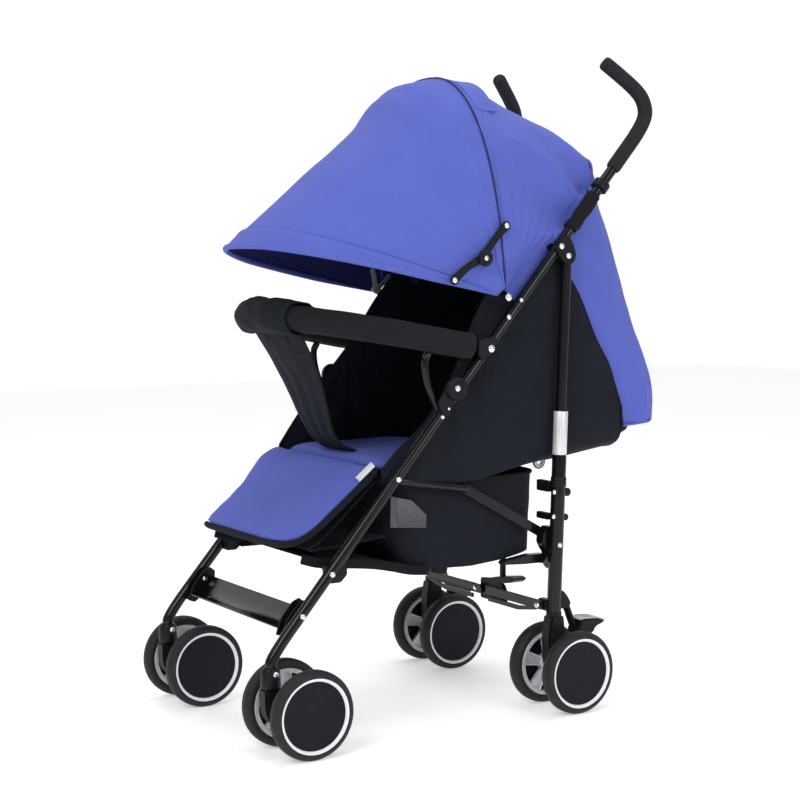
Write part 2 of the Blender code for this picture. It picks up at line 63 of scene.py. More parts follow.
REAR_WHEEL = box_centre("tyre_rear_out_L")
FRONT_WHEEL = box_centre("tyre_front_out_L")
SHIFT_Y = REAR_WHEEL.y
AXLE_Z = REAR_WHEEL.z
LEG_X = box_centre("front_tube_L").x
WHEEL_OFFSET = REAR_WHEEL.x - LEG_X
WHEEL_R = 0.069
FRONT_AXLE_Y = FRONT_WHEEL.y - SHIFT_Y
SWIVEL_Y = box_centre("swivel_socket_L").y - SHIFT_Y
SOCKET_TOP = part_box("swivel_socket_L")[1][2]
SOCKET_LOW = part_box("swivel_socket_L")[0][2]

TUBE_R = 0.009
RIVET_SINK = 0.0006
LEG_SLOPE = 1.155
FOOT_Y = -0.500
FOOT_Z = 0.211
KNUCKLE = (0.005, 0.758)
REAR_FOOT = (-0.016, 0.1585)
SLEEVE_TOP = 0.503
SLEEVE_R = 0.012
BAND_LOW = 0.429
SEAT_PIVOT = (-0.328, 0.407)
LINK_TOP = (-0.181, 0.382)
LINK_LOW = (-0.023, 0.295)
BRACE_X = 0.171
BRACE_Z = 0.175
BRACE_FRONT_Z = 0.267
CANOPY_PIVOT = (-0.122, 0.692)
CANOPY_HALF = 0.190


def at(x, y, z):
    """A point given from the mid-plane, the rear axle and the floor."""
    return Vector((x, y + SHIFT_Y, z))


def leg_z(y):
    """Height of the front leg and push tube's straight centre line at y."""
    return FOOT_Z + LEG_SLOPE * (y - FOOT_Y)


def rear_y(z):
    """The rear leg's centre line."""
    share = (KNUCKLE[1] - z) / (KNUCKLE[1] - REAR_FOOT[1])
    return KNUCKLE[0] + (REAR_FOOT[0] - KNUCKLE[0]) * share


# ---- materials ----------------------------------------------------------------------------
class Nodes:
    """Short hand for building one material's node tree."""

    def __init__(self, name, colour, roughness, **sockets):
        self.material = bpy.data.materials.new(name)
        self.material.use_nodes = True
        self.tree = self.material.node_tree
        self.shader = self.tree.nodes["Principled BSDF"]
        self.shader.inputs["Base Color"].default_value = (*colour, 1)
        self.shader.inputs["Roughness"].default_value = roughness
        self.colour = colour
        for socket, value in sockets.items():
            self.shader.inputs[socket.replace("_", " ")].default_value = value
        self.place = self.tree.nodes.new("ShaderNodeTexCoord").outputs["Object"]

    def add(self, kind, **settings):
        node = self.tree.nodes.new("ShaderNode" + kind)
        for key, value in settings.items():
            setattr(node, key, value)
        return node

    def link(self, a, b):
        self.tree.links.new(a, b)

    def noise(self, scale, detail=3.0, rough=0.5):
        node = self.add("TexNoise")
        node.inputs["Scale"].default_value = scale
        node.inputs["Detail"].default_value = detail
        node.inputs["Roughness"].default_value = rough
        self.link(self.place, node.inputs["Vector"])
        return node.outputs["Fac"]

    def wave(self, scale, direction, distortion=0.3):
        node = self.add("TexWave", wave_type="BANDS", bands_direction=direction)
        node.inputs["Scale"].default_value = scale
        node.inputs["Distortion"].default_value = distortion
        node.inputs["Detail"].default_value = 1.0
        node.inputs["Detail Scale"].default_value = 1.5
        self.link(self.place, node.inputs["Vector"])
        return node.outputs["Fac"]

    def maths(self, kind, a, b):
        node = self.add("Math", operation=kind)
        for socket, value in zip(node.inputs, (a, b)):
            if isinstance(value, (int, float)):
                socket.default_value = value
            else:
                self.link(value, socket)
        return node.outputs[0]

    def ramp(self, value, stops):
        node = self.add("ValToRGB")
        ramp = node.color_ramp
        for i, (place, colour) in enumerate(stops):
            stop = ramp.elements[i] if i < 2 else ramp.elements.new(place)
            stop.position = place
            stop.color = (*colour, 1)
        self.link(value, node.inputs["Fac"])
        return node.outputs["Color"]

    def tint(self, value, low, high):
        """Base colour between two strengths of the material's own colour."""
        dark = tuple(c * low for c in self.colour)
        light = tuple(min(1, c * high) for c in self.colour)
        colour = self.ramp(value, ((0.3, dark), (0.7, light)))
        self.link(colour, self.shader.inputs["Base Color"])
        return self

    def rough(self, value, low, high):
        span = self.add("MapRange")
        span.inputs["To Min"].default_value = low
        span.inputs["To Max"].default_value = high
        self.link(value, span.inputs["Value"])
        self.link(span.outputs[0], self.shader.inputs["Roughness"])
        return self

    def bump(self, height, strength, distance):
        node = self.add("Bump")
        node.inputs["Strength"].default_value = strength
        node.inputs["Distance"].default_value = distance
        self.link(height, node.inputs["Height"])
        self.link(node.outputs["Normal"], self.shader.inputs["Normal"])
        return self


def gloss_paint():
    look = Nodes("gloss_black_paint", (0.0035, 0.0040, 0.0055), 0.2, Coat_Weight=0.1,
                 Coat_Roughness=0.1, Specular_IOR_Level=0.24)
    look.tint(look.noise(60), 0.85, 1.25)
    look.rough(look.noise(240, 4), 0.16, 0.30)
    return look.bump(look.noise(900, 2), 0.06, 0.0004).material


def moulded_plastic(name, colour, low, high, level=0.2):
    look = Nodes(name, colour, 0.45, Specular_IOR_Level=level)
    look.tint(look.noise(80), 0.85, 1.2)
    look.rough(look.noise(300, 4), low, high)
    return look.bump(look.noise(1800, 3, 0.7), 0.18, 0.0004).material


def foam_rubber():
    look = Nodes("grip_foam", (0.012, 0.0126, 0.015), 0.85, Specular_IOR_Level=0.3)
    look.tint(look.noise(150), 0.8, 1.3)
    pores = look.maths("MULTIPLY", look.noise(1400, 4, 0.7), look.noise(420, 3))
    look.rough(look.noise(500), 0.78, 0.95)
    return look.bump(pores, 0.5, 0.0006).material


def tyre_rubber():
    look = Nodes("tyre_rubber", (0.0105, 0.011, 0.0125), 0.7, Specular_IOR_Level=0.35)
    look.tint(look.noise(90), 0.8, 1.3)
    look.rough(look.noise(220, 4), 0.52, 0.75)
    return look.bump(look.noise(1300, 3), 0.2, 0.0004).material


def silver_plastic():
    look = Nodes("silver_plastic", (0.62, 0.63, 0.66), 0.36, Metallic=0.3)
    look.tint(look.noise(120), 0.9, 1.1)
    look.rough(look.noise(300, 4), 0.32, 0.46)
    return look.bump(look.noise(1600, 2), 0.1, 0.0003).material


def chrome():
    look = Nodes("rivet_chrome", (0.80, 0.81, 0.84), 0.14, Metallic=1.0)
    look.rough(look.noise(800, 3), 0.10, 0.24)
    return look.bump(look.noise(2000, 2), 0.05, 0.0002).material


def white_plastic(name, colour):
    look = Nodes(name, colour, 0.35)
    look.tint(look.noise(140), 0.94, 1.06)
    look.rough(look.noise(260), 0.3, 0.45)
    return look.bump(look.noise(1500, 2), 0.06, 0.0003).material


def weave(name, colour, thread, sheen, low=0.86, high=1.12, depth=0.35):
    """Woven cloth: crossing threads, slow shade changes and a soft sheen."""
    look = Nodes(name, colour, 0.85, Sheen_Weight=sheen, Sheen_Roughness=0.5,
                 Specular_IOR_Level=0.2)
    scale = math.pi / (10 * thread)
    across = look.wave(scale, "X", 0.4)
    along = look.wave(scale, "Z", 0.4)
    deep = look.wave(scale, "Y", 0.4)
    cloth = look.maths("ADD", look.maths("MULTIPLY", across, 0.5), along)
    cloth = look.maths("ADD", cloth, look.maths("MULTIPLY", deep, 0.5))
    patches = look.maths("ADD", look.maths("MULTIPLY", look.noise(14, 4), 0.25),
                         look.maths("MULTIPLY", look.noise(900, 2), 0.75))
    look.tint(patches, low, high)
    look.rough(look.noise(200, 3), 0.78, 0.95)
    return look.bump(cloth, depth, 0.0005).material


def mesh_cloth():
    """Open net of the basket window: grey threads round dark holes."""
    look = Nodes("net_window", (0.08, 0.082, 0.09), 0.8)
    spots = look.add("TexVoronoi", feature="F1")
    spots.inputs["Scale"].default_value = 420
    spots.inputs["Randomness"].default_value = 0.12
    look.link(look.place, spots.inputs["Vector"])
    net = look.ramp(spots.outputs["Distance"],
                    ((0.28, (0.012, 0.012, 0.015)), (0.5, (0.115, 0.118, 0.128))))
    look.link(net, look.shader.inputs["Base Color"])
    return look.bump(spots.outputs["Distance"], 0.6, 0.0006).material


def reflective_tape():
    look = Nodes("reflective_band", (0.62, 0.63, 0.65), 0.4, Metallic=0.35)
    cells = look.add("TexVoronoi", feature="F1")
    cells.inputs["Scale"].default_value = 320
    cells.inputs["Randomness"].default_value = 0.1
    look.link(look.place, cells.inputs["Vector"])
    shade = look.ramp(cells.outputs["Distance"],
                      ((0.2, (0.52, 0.53, 0.55)), (0.6, (0.78, 0.79, 0.80))))
    look.link(shade, look.shader.inputs["Base Color"])
    return look.bump(cells.outputs["Distance"], 0.15, 0.0003).material


PAINT = gloss_paint()
PLASTIC = moulded_plastic("black_plastic", (0.0050, 0.0056, 0.0075), 0.36, 0.52)
CAP = moulded_plastic("wheel_cap_plastic", (0.0060, 0.0072, 0.0125), 0.34, 0.5, 0.14)
GLOSS = moulded_plastic("footrest_gloss", (0.004, 0.004, 0.0045), 0.05, 0.10, 0.4)
FOAM = foam_rubber()
RUBBER = tyre_rubber()
SILVER = silver_plastic()
CHROME = chrome()
WHITE = white_plastic("ring_white", (0.80, 0.81, 0.83))
PALE = white_plastic("pedal_grey", (0.46, 0.47, 0.49))
BLUE = weave("blue_cloth", (0.096, 0.127, 0.50), 0.0007, 0.06)
# Darker copy of the blue cloth for the hood's inner faces: painted shade inside the hood.
BLUE_SHADED_UNDERSIDE = weave("blue_underside_painted_shade", (0.028, 0.032, 0.165), 0.0007, 0.02)
BLACK = weave("black_cloth", (0.0070, 0.0090, 0.0145), 0.0009, 0.01, 0.8, 1.3)
BLACK_TAPE = weave("black_binding", (0.006, 0.007, 0.009), 0.0012, 0.01, 0.8, 1.2, 0.6)
NAVY_TAPE = weave("navy_piping", (0.022, 0.028, 0.110), 0.0010, 0.1, 0.8, 1.2, 0.5)
NET = mesh_cloth()
TAPE = reflective_tape()
LABEL = weave("label_white", (0.72, 0.73, 0.75), 0.0006, 0.1)


# ---- mesh building blocks -----------------------------------------------------------------
def piece(name, data, look, body, replaces=(), inner=None):
    """Add a finished mesh as a piece that rides on a body."""
    obj = bpy.data.objects.new(name, data)
    bpy.context.scene.collection.objects.link(obj)
    obj.data.materials.append(look)
    if inner:
        obj.data.materials.append(inner)
    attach(obj, body)
    if replaces:
        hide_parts(*replaces)
    return obj


def mesh_of(name, bm, smooth_angle=40):
    bmesh.ops.recalc_face_normals(bm, faces=bm.faces)
    data = bpy.data.meshes.new(name)
    bm.to_mesh(data)
    bm.free()
    shade(data, smooth_angle)
    return data


def shade(data, angle=40):
    data.shade_smooth()
    data.set_sharp_from_angle(angle=math.radians(angle))


def apply_modifiers(obj):
    """Replace an object's mesh with what its modifiers make of it."""
    graph = bpy.context.evaluated_depsgraph_get()
    data = bpy.data.meshes.new_from_object(obj.evaluated_get(graph))
    obj.modifiers.clear()
    obj.data = data
    return obj


def smooth_path(points, steps):
    """Points along a Catmull-Rom curve through the given points."""
    knots = [Vector(p) for p in points]
    ends = [knots[0] * 2 - knots[1]] + knots + [knots[-1] * 2 - knots[-2]]
    path = []
    for i in range(1, len(ends) - 2):
        p0, p1, p2, p3 = ends[i - 1:i + 3]
        for step in range(steps):
            t = step / steps
            path.append(0.5 * (2 * p1 + (p2 - p0) * t + (2 * p0 - 5 * p1 + 4 * p2 - p3) * t ** 2
                               + (3 * p1 - p0 - 3 * p2 + p3) * t ** 3))
    path.append(knots[-1])
    return path


def sweep(bm, path, section, closed=True, cap=True, up=Vector((1, 0, 0))):
    """Sweep a section along a path. section(i, share) gives (side, rise) places there."""
    rings = []
    count = len(path)
    normal = up
    for i, point in enumerate(path):
        ahead = path[min(i + 1, count - 1)] - path[max(i - 1, 0)]
        ahead.normalize()
        side = (normal - ahead * normal.dot(ahead)).normalized()
        normal = side
        rise = ahead.cross(side)
        places = section(i, i / (count - 1))
        rings.append([bm.verts.new(point + side * a + rise * b) for a, b in places])
    for first, second in zip(rings, rings[1:]):
        span = len(first)
        for k in range(span if closed else span - 1):
            j = (k + 1) % span
            bm.faces.new((first[k], first[j], second[j], second[k]))
    if cap and closed:
        bm.faces.new(list(reversed(rings[0])))
        bm.faces.new(rings[-1])
    return rings


def circle(radius, sides=20):
    return [(radius * math.cos(2 * math.pi * k / sides), radius * math.sin(2 * math.pi * k / sides))
            for k in range(sides)]


def tube_mesh(name, path, radius, sides=20, round_ends=0.0):
    """A round bar; radius is a number or a function of the share along it."""
    bm = bmesh.new()
    width = radius if callable(radius) else lambda share: radius
    if round_ends:
        path = soft_ends(path, round_ends)
        inner = width
        last = len(path) - 1
        scale = {0: 0.55, 1: 0.85, last - 1: 0.85, last: 0.55}
        sweep(bm, path, lambda i, share: circle(inner(share) * scale.get(i, 1.0), sides))
    else:
        sweep(bm, path, lambda i, share: circle(width(share), sides))
    return mesh_of(name, bm)


def soft_ends(path, depth):
    """Extra points near both ends, so that an end can be rounded."""
    first = (path[1] - path[0]).normalized()
    last = (path[-2] - path[-1]).normalized()
    head = [path[0], path[0] + first * depth * 0.3, path[0] + first * depth]
    tail = [path[-1] + last * depth, path[-1] + last * depth * 0.3, path[-1]]
    middle = [p for p in path[1:-1]
              if (p - path[0]).length > depth * 1.2 and (p - path[-1]).length > depth * 1.2]
    return head + middle + tail


def plate_mesh(name, outline, low, high, bevel=0.0008, axis="X"):
    """A flat plate with softened edges. outline is (u, v): y, z across X, or x, z across Y."""
    bm = bmesh.new()
    if axis == "X":
        ring = [bm.verts.new(at(low, u, v)) for u, v in outline]
        move = Vector((high - low, 0, 0))
    else:
        ring = [bm.verts.new(at(u, low, v)) for u, v in outline]
        move = Vector((0, high - low, 0))
    face = bm.faces.new(ring)
    made = bmesh.ops.extrude_face_region(bm, geom=[face])
    bmesh.ops.translate(bm, verts=[g for g in made["geom"] if isinstance(g, bmesh.types.BMVert)],
                        vec=move)
    if bevel:
        bmesh.ops.bevel(bm, geom=bm.edges[:], offset=bevel, segments=2, affect="EDGES",
                        clamp_overlap=True)
    return mesh_of(name, bm, 35)


def bar_outline(a, b, half, steps=8):
    """A flat link's outline from a to b with rounded ends."""
    run = Vector((b[0] - a[0], b[1] - a[1]))
    turn = math.atan2(run.y, run.x)
    outline = []
    for centre, start in ((b, turn - math.pi / 2), (a, turn + math.pi / 2)):
        for step in range(steps + 1):
            angle = start + math.pi * step / steps
            outline.append((centre[0] + half * math.cos(angle), centre[1] + half * math.sin(angle)))
    return outline


def turn_mesh(name, profile, centre, steps=64, axis="X", closed=True, angle=35):
    """A profile of (along, radius) places turned about an axis through centre."""
    bm = bmesh.new()
    rings = []
    for k in range(steps):
        phase = 2 * math.pi * k / steps
        ring = []
        for along, radius in profile:
            a, b = radius * math.cos(phase), radius * math.sin(phase)
            offset = {"X": (along, a, b), "Y": (a, along, b), "Z": (a, b, along)}[axis]
            ring.append(bm.verts.new(Vector(centre) + Vector(offset)))
        rings.append(ring)
    count = len(profile)
    for k in range(steps):
        first, second = rings[k], rings[(k + 1) % steps]
        for i in range(count if closed else count - 1):
            j = (i + 1) % count
            bm.faces.new((first[i], first[j], second[j], second[i]))
    bmesh.ops.remove_doubles(bm, verts=bm.verts, dist=0.00001)
    return mesh_of(name, bm, angle)


def join_meshes(name, parts):
    """One mesh from several."""
    bm = bmesh.new()
    for data in parts:
        bm.from_mesh(data)
    data = bpy.data.meshes.new(name)
    bm.to_mesh(data)
    bm.free()
    shade(data)
    return data


def dome(centre, axis, radius, height):
    """A rivet head: a low dome standing on a thin rim."""
    profile = [(-0.0012, radius), (height * 0.25, radius), (height * 0.62, radius * 0.82),
               (height * 0.9, radius * 0.48), (height, 0.00001), (-0.0012, 0.00001)]
    data = turn_mesh("dome", profile, (0, 0, 0), steps=16, axis="Z", angle=60)
    turn = Vector((0, 0, 1)).rotation_difference(Vector(axis)).to_matrix().to_4x4()
    data.transform(Matrix.Translation(Vector(centre)) @ turn)
    return data


def rivets(name, places, body, look=None):
    """Several rivet heads as one piece: places are (point, axis, radius, height)."""
    parts = [dome(*place) for place in places]
    return piece(name, join_meshes(name, parts), look or CHROME, body)


# ---- wheels -------------------------------------------------------------------------------
def tyre_mesh(name, centre):
    """Round-shouldered tyre with a shallow groove beside each shoulder."""
    half = 0.0125
    profile = [(-half + 0.001, 0.0560), (-half, 0.0585), (-half, 0.0618), (-half + 0.0012, 0.0650),
               (-half + 0.0036, 0.0674), (-0.0062, 0.0686), (-0.0052, 0.0681), (-0.0042, 0.0688),
               (0.0, WHEEL_R), (0.0042, 0.0688), (0.0052, 0.0681), (0.0062, 0.0686),
               (half - 0.0036, 0.0674), (half - 0.0012, 0.0650), (half, 0.0618), (half, 0.0585),
               (half - 0.001, 0.0560)]
    return turn_mesh(name, profile, centre, 72, angle=50)


def spoke_rim_mesh(name, centre, out):
    """Inner face of a wheel: hub, five broad spokes and a rim, in front of a dark dish."""
    face = -out
    parts = []
    rim = [(0.0045, 0.0475), (0.0118, 0.0485), (0.0126, 0.0500), (0.0126, 0.0545), (0.0105, 0.0558),
           (0.0, 0.0558), (0.0, 0.0475)]
    hub = [(0.0, 0.0062), (0.0150, 0.0062), (0.0158, 0.0080), (0.0158, 0.0120), (0.0140, 0.0150),
           (0.0, 0.0165)]
    for profile in (rim, hub):
        parts.append(turn_mesh("part", [(face * a, r) for a, r in profile], centre, 60))
    for spoke in range(5):
        turn = 2 * math.pi * spoke / 5 + 0.35
        parts.append(spoke_mesh(centre, face, turn))
    return join_meshes(name, parts)


def spoke_mesh(centre, face, turn):
    """One broad spoke, wider at the rim, with a raised border and a hollow middle."""
    bm = bmesh.new()
    width_in, width_out = 0.0072, 0.0125
    low, high = 0.0132, 0.0490
    outline = [(low, -width_in), (high, -width_out), (high, width_out), (low, width_in)]
    ring = [bm.verts.new((face * 0.0108, r, w)) for r, w in outline]
    top = bm.faces.new(ring)
    made = bmesh.ops.extrude_face_region(bm, geom=[top])
    back = [g for g in made["geom"] if isinstance(g, bmesh.types.BMVert)]
    bmesh.ops.translate(bm, verts=back, vec=(-face * 0.0070, 0, 0))
    bm.faces.ensure_lookup_table()
    front = [f for f in bm.faces if all(abs(v.co.x - face * 0.0108) < 1e-6 for v in f.verts)]
    bmesh.ops.inset_region(bm, faces=front, thickness=0.0024, depth=0.0)
    bmesh.ops.translate(bm, verts=list({v for f in front for v in f.verts}),
                        vec=(-face * 0.0028, 0, 0))
    bmesh.ops.rotate(bm, verts=bm.verts, matrix=Matrix.Rotation(turn, 3, "X"))
    bmesh.ops.translate(bm, verts=bm.verts, vec=centre)
    bmesh.ops.bevel(bm, geom=bm.edges[:], offset=0.0004, segments=1, affect="EDGES")
    return mesh_of("spoke", bm, 30)


def cap_mesh(name, centre, out):
    """Flat round cap on a wheel's outward face, with a shallow lip."""
    profile = [(0.0, 0.00001), (0.0085, 0.00001), (0.0092, 0.0200), (0.0092, 0.0535),
               (0.0084, 0.0546), (0.0, 0.0546)]
    return turn_mesh(name, [(out * a, r) for a, r in profile], centre, 72)


def ring_mesh(name, centre, out):
    """Bright ring round the cap."""
    profile = [(0.0090, 0.0530), (0.0118, 0.0546), (0.0123, 0.0556), (0.0123, 0.0596),
               (0.0112, 0.0608), (0.0090, 0.0608)]
    return turn_mesh(name, [(out * a, r) for a, r in profile], centre, 72)


def wheel(side, sx, end, place, y):
    out = sx if place == "out" else -sx
    tag = end + "_" + place + "_" + side
    body = "wheel_" + tag
    centre = Vector((sx * LEG_X + out * WHEEL_OFFSET, y + SHIFT_Y, AXLE_Z))
    piece("tyre_soft_" + tag, tyre_mesh("tyre", centre), RUBBER, body, ("tyre_" + tag,))
    piece("spokes_" + tag, spoke_rim_mesh("spokes", centre, out), SILVER, body,
          ("rim_" + tag,))
    piece("cap_" + tag, cap_mesh("cap", centre, out), CAP, body)
    piece("ring_" + tag, ring_mesh("ring", centre, out), WHITE, body)


# ---- side frames --------------------------------------------------------------------------
def front_path(sx):
    foot = at(sx * LEG_X, SWIVEL_Y, SOCKET_TOP + 0.0003)
    low = Vector((SWIVEL_Y, SOCKET_TOP + 0.0043))
    corner = Vector((SWIVEL_Y, leg_z(SWIVEL_Y)))
    high = Vector((-0.515, leg_z(-0.515)))
    path = [foot]
    for step in range(13):
        t = step / 12
        y, z = low * (1 - t) ** 2 + corner * 2 * t * (1 - t) + high * t ** 2
        path.append(at(sx * LEG_X, y, z))
    for step in range(1, 25):
        y = -0.515 + (0.0985 + 0.515) * step / 24
        path.append(at(sx * LEG_X, y, leg_z(y)))
    return path


def grip_path(sx):
    knots = ((0.186, 0.099, leg_z(0.099)), (0.186, 0.124, leg_z(0.124)),
             (0.186, 0.147, leg_z(0.147)),
             (0.186, 0.165, 0.984), (0.185, 0.171, 1.003), (0.182, 0.166, 1.024),
             (0.176, 0.154, 1.041), (0.165, 0.131, 1.063), (0.152, 0.105, 1.086))
    return smooth_path([at(sx * x, y, z) for x, y, z in knots], 6)


def side_frame(side, sx):
    body = "side_" + side
    piece("leg_tube_" + side, tube_mesh("tube", front_path(sx), TUBE_R, 24), PAINT, body,
          ("front_tube_" + side,))
    piece("foam_grip_" + side, tube_mesh("grip", grip_path(sx), 0.0124, 24, 0.006), FOAM, body,
          ("grip_" + side,))
    collar = [at(sx * LEG_X, y, leg_z(y)) for y in (0.0700, 0.0712, 0.0755, 0.0798, 0.0810)]
    wide = (0.0120, 0.0142, 0.0146, 0.0142, 0.0120)
    bm = bmesh.new()
    sweep(bm, collar, lambda i, share: circle(wide[i], 32))
    piece("grip_collar_" + side, mesh_of("collar", bm), PLASTIC, body)
    rivets("collar_rivet_" + side, [(at(sx * (LEG_X + 0.0140), 0.0755, leg_z(0.0755)), (sx, 0, 0),
                                     0.0034, 0.0016)], body, PLASTIC)
    knuckle_pieces(side, sx)
    foot_pieces(side, sx)
    bumper_support(side, sx)
    footrest_corner(side, sx)


def knuckle_pieces(side, sx):
    """Outer and inner cheeks of the rear leg's pivot, clamped on the push tube."""
    body = "side_" + side
    outline = [(-0.0285, 0.7740), (-0.0230, 0.7650), (-0.0150, 0.7540), (-0.0060, 0.7455),
               (0.0040, 0.7445), (0.0125, 0.7500), (0.0155, 0.7590), (0.0140, 0.7680),
               (0.0060, 0.7850), (-0.0030, 0.7930), (-0.0110, 0.7915), (-0.0210, 0.7830)]
    inner = LEG_X + TUBE_R + 0.0004
    low, high = sorted((sx * inner, sx * (inner + 0.0038)))
    piece("knuckle_plate_" + side, plate_mesh("plate", outline, low, high, 0.0010), PLASTIC, body,
          ("knuckle_" + side,))
    low, high = sorted((sx * (LEG_X - TUBE_R - 0.0040), sx * (LEG_X - TUBE_R - 0.0006)))
    piece("knuckle_inner_" + side, plate_mesh("plate", outline, low, high, 0.0010), PLASTIC, body)
    face = inner + 0.0038
    heads = [(at(sx * face, y, z), (sx, 0, 0), 0.0052, 0.0030)
             for y, z in ((-0.0150, 0.7745), (-0.0005, 0.7590))]
    rivets("knuckle_rivets_" + side, heads, body)


def foot_pieces(side, sx):
    """Swivel socket with its collar and rivet."""
    body = "side_" + side
    profile = [(SOCKET_LOW, 0.0002), (SOCKET_LOW, 0.0150), (SOCKET_LOW + 0.002, 0.0160),
               (SOCKET_TOP - 0.004, 0.0145), (SOCKET_TOP, 0.0120), (SOCKET_TOP, 0.0095)]
    centre = at(sx * LEG_X, SWIVEL_Y, 0)
    closed = profile + [(SOCKET_TOP - 0.001, 0.0002)]
    piece("foot_socket_" + side, turn_mesh("socket", closed, centre, 32, "Z"), PLASTIC, body,
          ("swivel_socket_" + side,))
    z = SOCKET_TOP - 0.0085
    heads = [(at(sx * (LEG_X + 0.0140), SWIVEL_Y + 0.002, z), (sx, -0.05, 0), 0.0046, 0.0030),
             (at(sx * (LEG_X - 0.0140), SWIVEL_Y + 0.002, z), (-sx, -0.05, 0), 0.0046, 0.0030)]
    rivets("foot_rivets_" + side, heads, body)


def bumper_support(side, sx):
    """Mount of the bumper bar, the round knob below it and the curved support arm."""
    body = "side_" + side
    outline = [(-0.1805, 0.6010), (-0.1740, 0.5930), (-0.1665, 0.5935), (-0.1500, 0.6050),
               (-0.1400, 0.6190), (-0.1440, 0.6270), (-0.1560, 0.6290), (-0.1700, 0.6270),
               (-0.1805, 0.6240)]
    low, high = sorted((sx * (LEG_X + TUBE_R + 0.0004), sx * (LEG_X + TUBE_R + 0.0042)))
    cheeks = [plate_mesh("cheek", outline, low, high, 0.0010)]
    low, high = sorted((sx * (LEG_X - TUBE_R - 0.0042), sx * (LEG_X - TUBE_R - 0.0004)))
    cheeks.append(plate_mesh("cheek", outline, low, high, 0.0010))
    piece("bar_mount_" + side, join_meshes("mount", cheeks), PLASTIC, body,
          ("bumper_mount_" + side,))
    face = LEG_X + TUBE_R + 0.0042
    rivets("bar_rivet_" + side, [(at(sx * face, -0.155, 0.610), (sx, 0, 0), 0.0062, 0.0034)], body)
    knob_y, knob_z = -0.223, 0.549
    profile = [(0.0, 0.0001), (0.0, 0.0175), (0.0015, 0.0190), (0.0065, 0.0188), (0.0085, 0.0172),
               (0.0092, 0.0120), (0.0076, 0.0110), (0.0080, 0.0001)]
    centre = at(sx * (LEG_X + TUBE_R + 0.0006), knob_y, knob_z)
    knob = turn_mesh("knob", [(sx * a, r) for a, r in profile], centre, 40)
    base = leg_outline_bracket(sx)
    piece("leg_knob_" + side, join_meshes("knob", [knob, base]), PLASTIC, body)
    arm = [at(sx * (LEG_X - 0.006), y, z) for y, z in
           ((-0.2620, 0.6070), (-0.2690, 0.5950), (-0.2690, 0.5760), (-0.2640, 0.5540),
            (-0.2555, 0.5340), (-0.2455, 0.5140), (-0.2370, 0.4960))]
    piece("bar_support_" + side, tube_mesh("arm", smooth_path(arm, 6), 0.0058, 16, 0.003),
          PAINT, body)
    dots = [(at(sx * (LEG_X + TUBE_R - 0.0004), y, leg_z(y) - 0.0005), (sx, 0, 0), 0.0036, 0.0024)
            for y in (-0.235, -0.246)]
    dots.append((at(sx * (LEG_X + TUBE_R + 0.0085), knob_y, knob_z), (sx, 0, 0), 0.0050, 0.0024))
    rivets("leg_dots_" + side, dots, body)


def leg_outline_bracket(sx):
    outline = [(-0.2560, 0.5260), (-0.2460, 0.5060), (-0.2370, 0.5010), (-0.2220, 0.5290),
               (-0.2120, 0.5560), (-0.2230, 0.5640), (-0.2380, 0.5560)]
    low, high = sorted((sx * (LEG_X + TUBE_R - 0.0015), sx * (LEG_X + TUBE_R + 0.0016)))
    return plate_mesh("bracket", outline, low, high, 0.0008)


def footrest_corner(side, sx):
    """Moulded corner that carries the footrest, screwed to the leg."""
    body = "side_" + side
    outline = [(-0.5270, 0.1800), (-0.5150, 0.1760), (-0.4960, 0.1900), (-0.4780, 0.2120),
               (-0.4770, 0.2260), (-0.4860, 0.2330), (-0.4980, 0.2280), (-0.5170, 0.2060)]
    parts = []
    for near, far in ((0.1545, 0.1580), (0.1735, 0.1768)):
        low, high = sorted((sx * near, sx * far))
        parts.append(plate_mesh("cheek", outline, low, high, 0.0009))
    web = [(-0.5230, 0.1815), (-0.5160, 0.1790), (-0.4810, 0.2210), (-0.4870, 0.2270)]
    low, high = sorted((sx * 0.1580, sx * 0.1735))
    parts.append(plate_mesh("web", web, low, high, 0.0008))
    piece("foot_corner_" + side, join_meshes("corner", parts), PLASTIC, body,
          ("footrest_bracket_" + side,))
    hook = [(-0.4480, 0.2560), (-0.4300, 0.2560), (-0.4180, 0.2680), (-0.4200, 0.2860),
            (-0.4380, 0.2900), (-0.4520, 0.2800)]
    low, high = sorted((sx * 0.1660, sx * (LEG_X + 0.004)))
    piece("front_brace_hook_" + side, plate_mesh("hook", hook, low, high, 0.0016), PLASTIC, body)
    heads = [(at(sx * (LEG_X + TUBE_R - RIVET_SINK), y, leg_z(y)), (sx, 0, 0), 0.0048, 0.0030)
             for y in (-0.500, -0.448, -0.328)]
    heads.append((at(sx * 0.1545, -0.496, 0.214), (-sx, 0, 0), 0.0044, 0.0024))
    rivets("leg_rivets_" + side, heads, body)


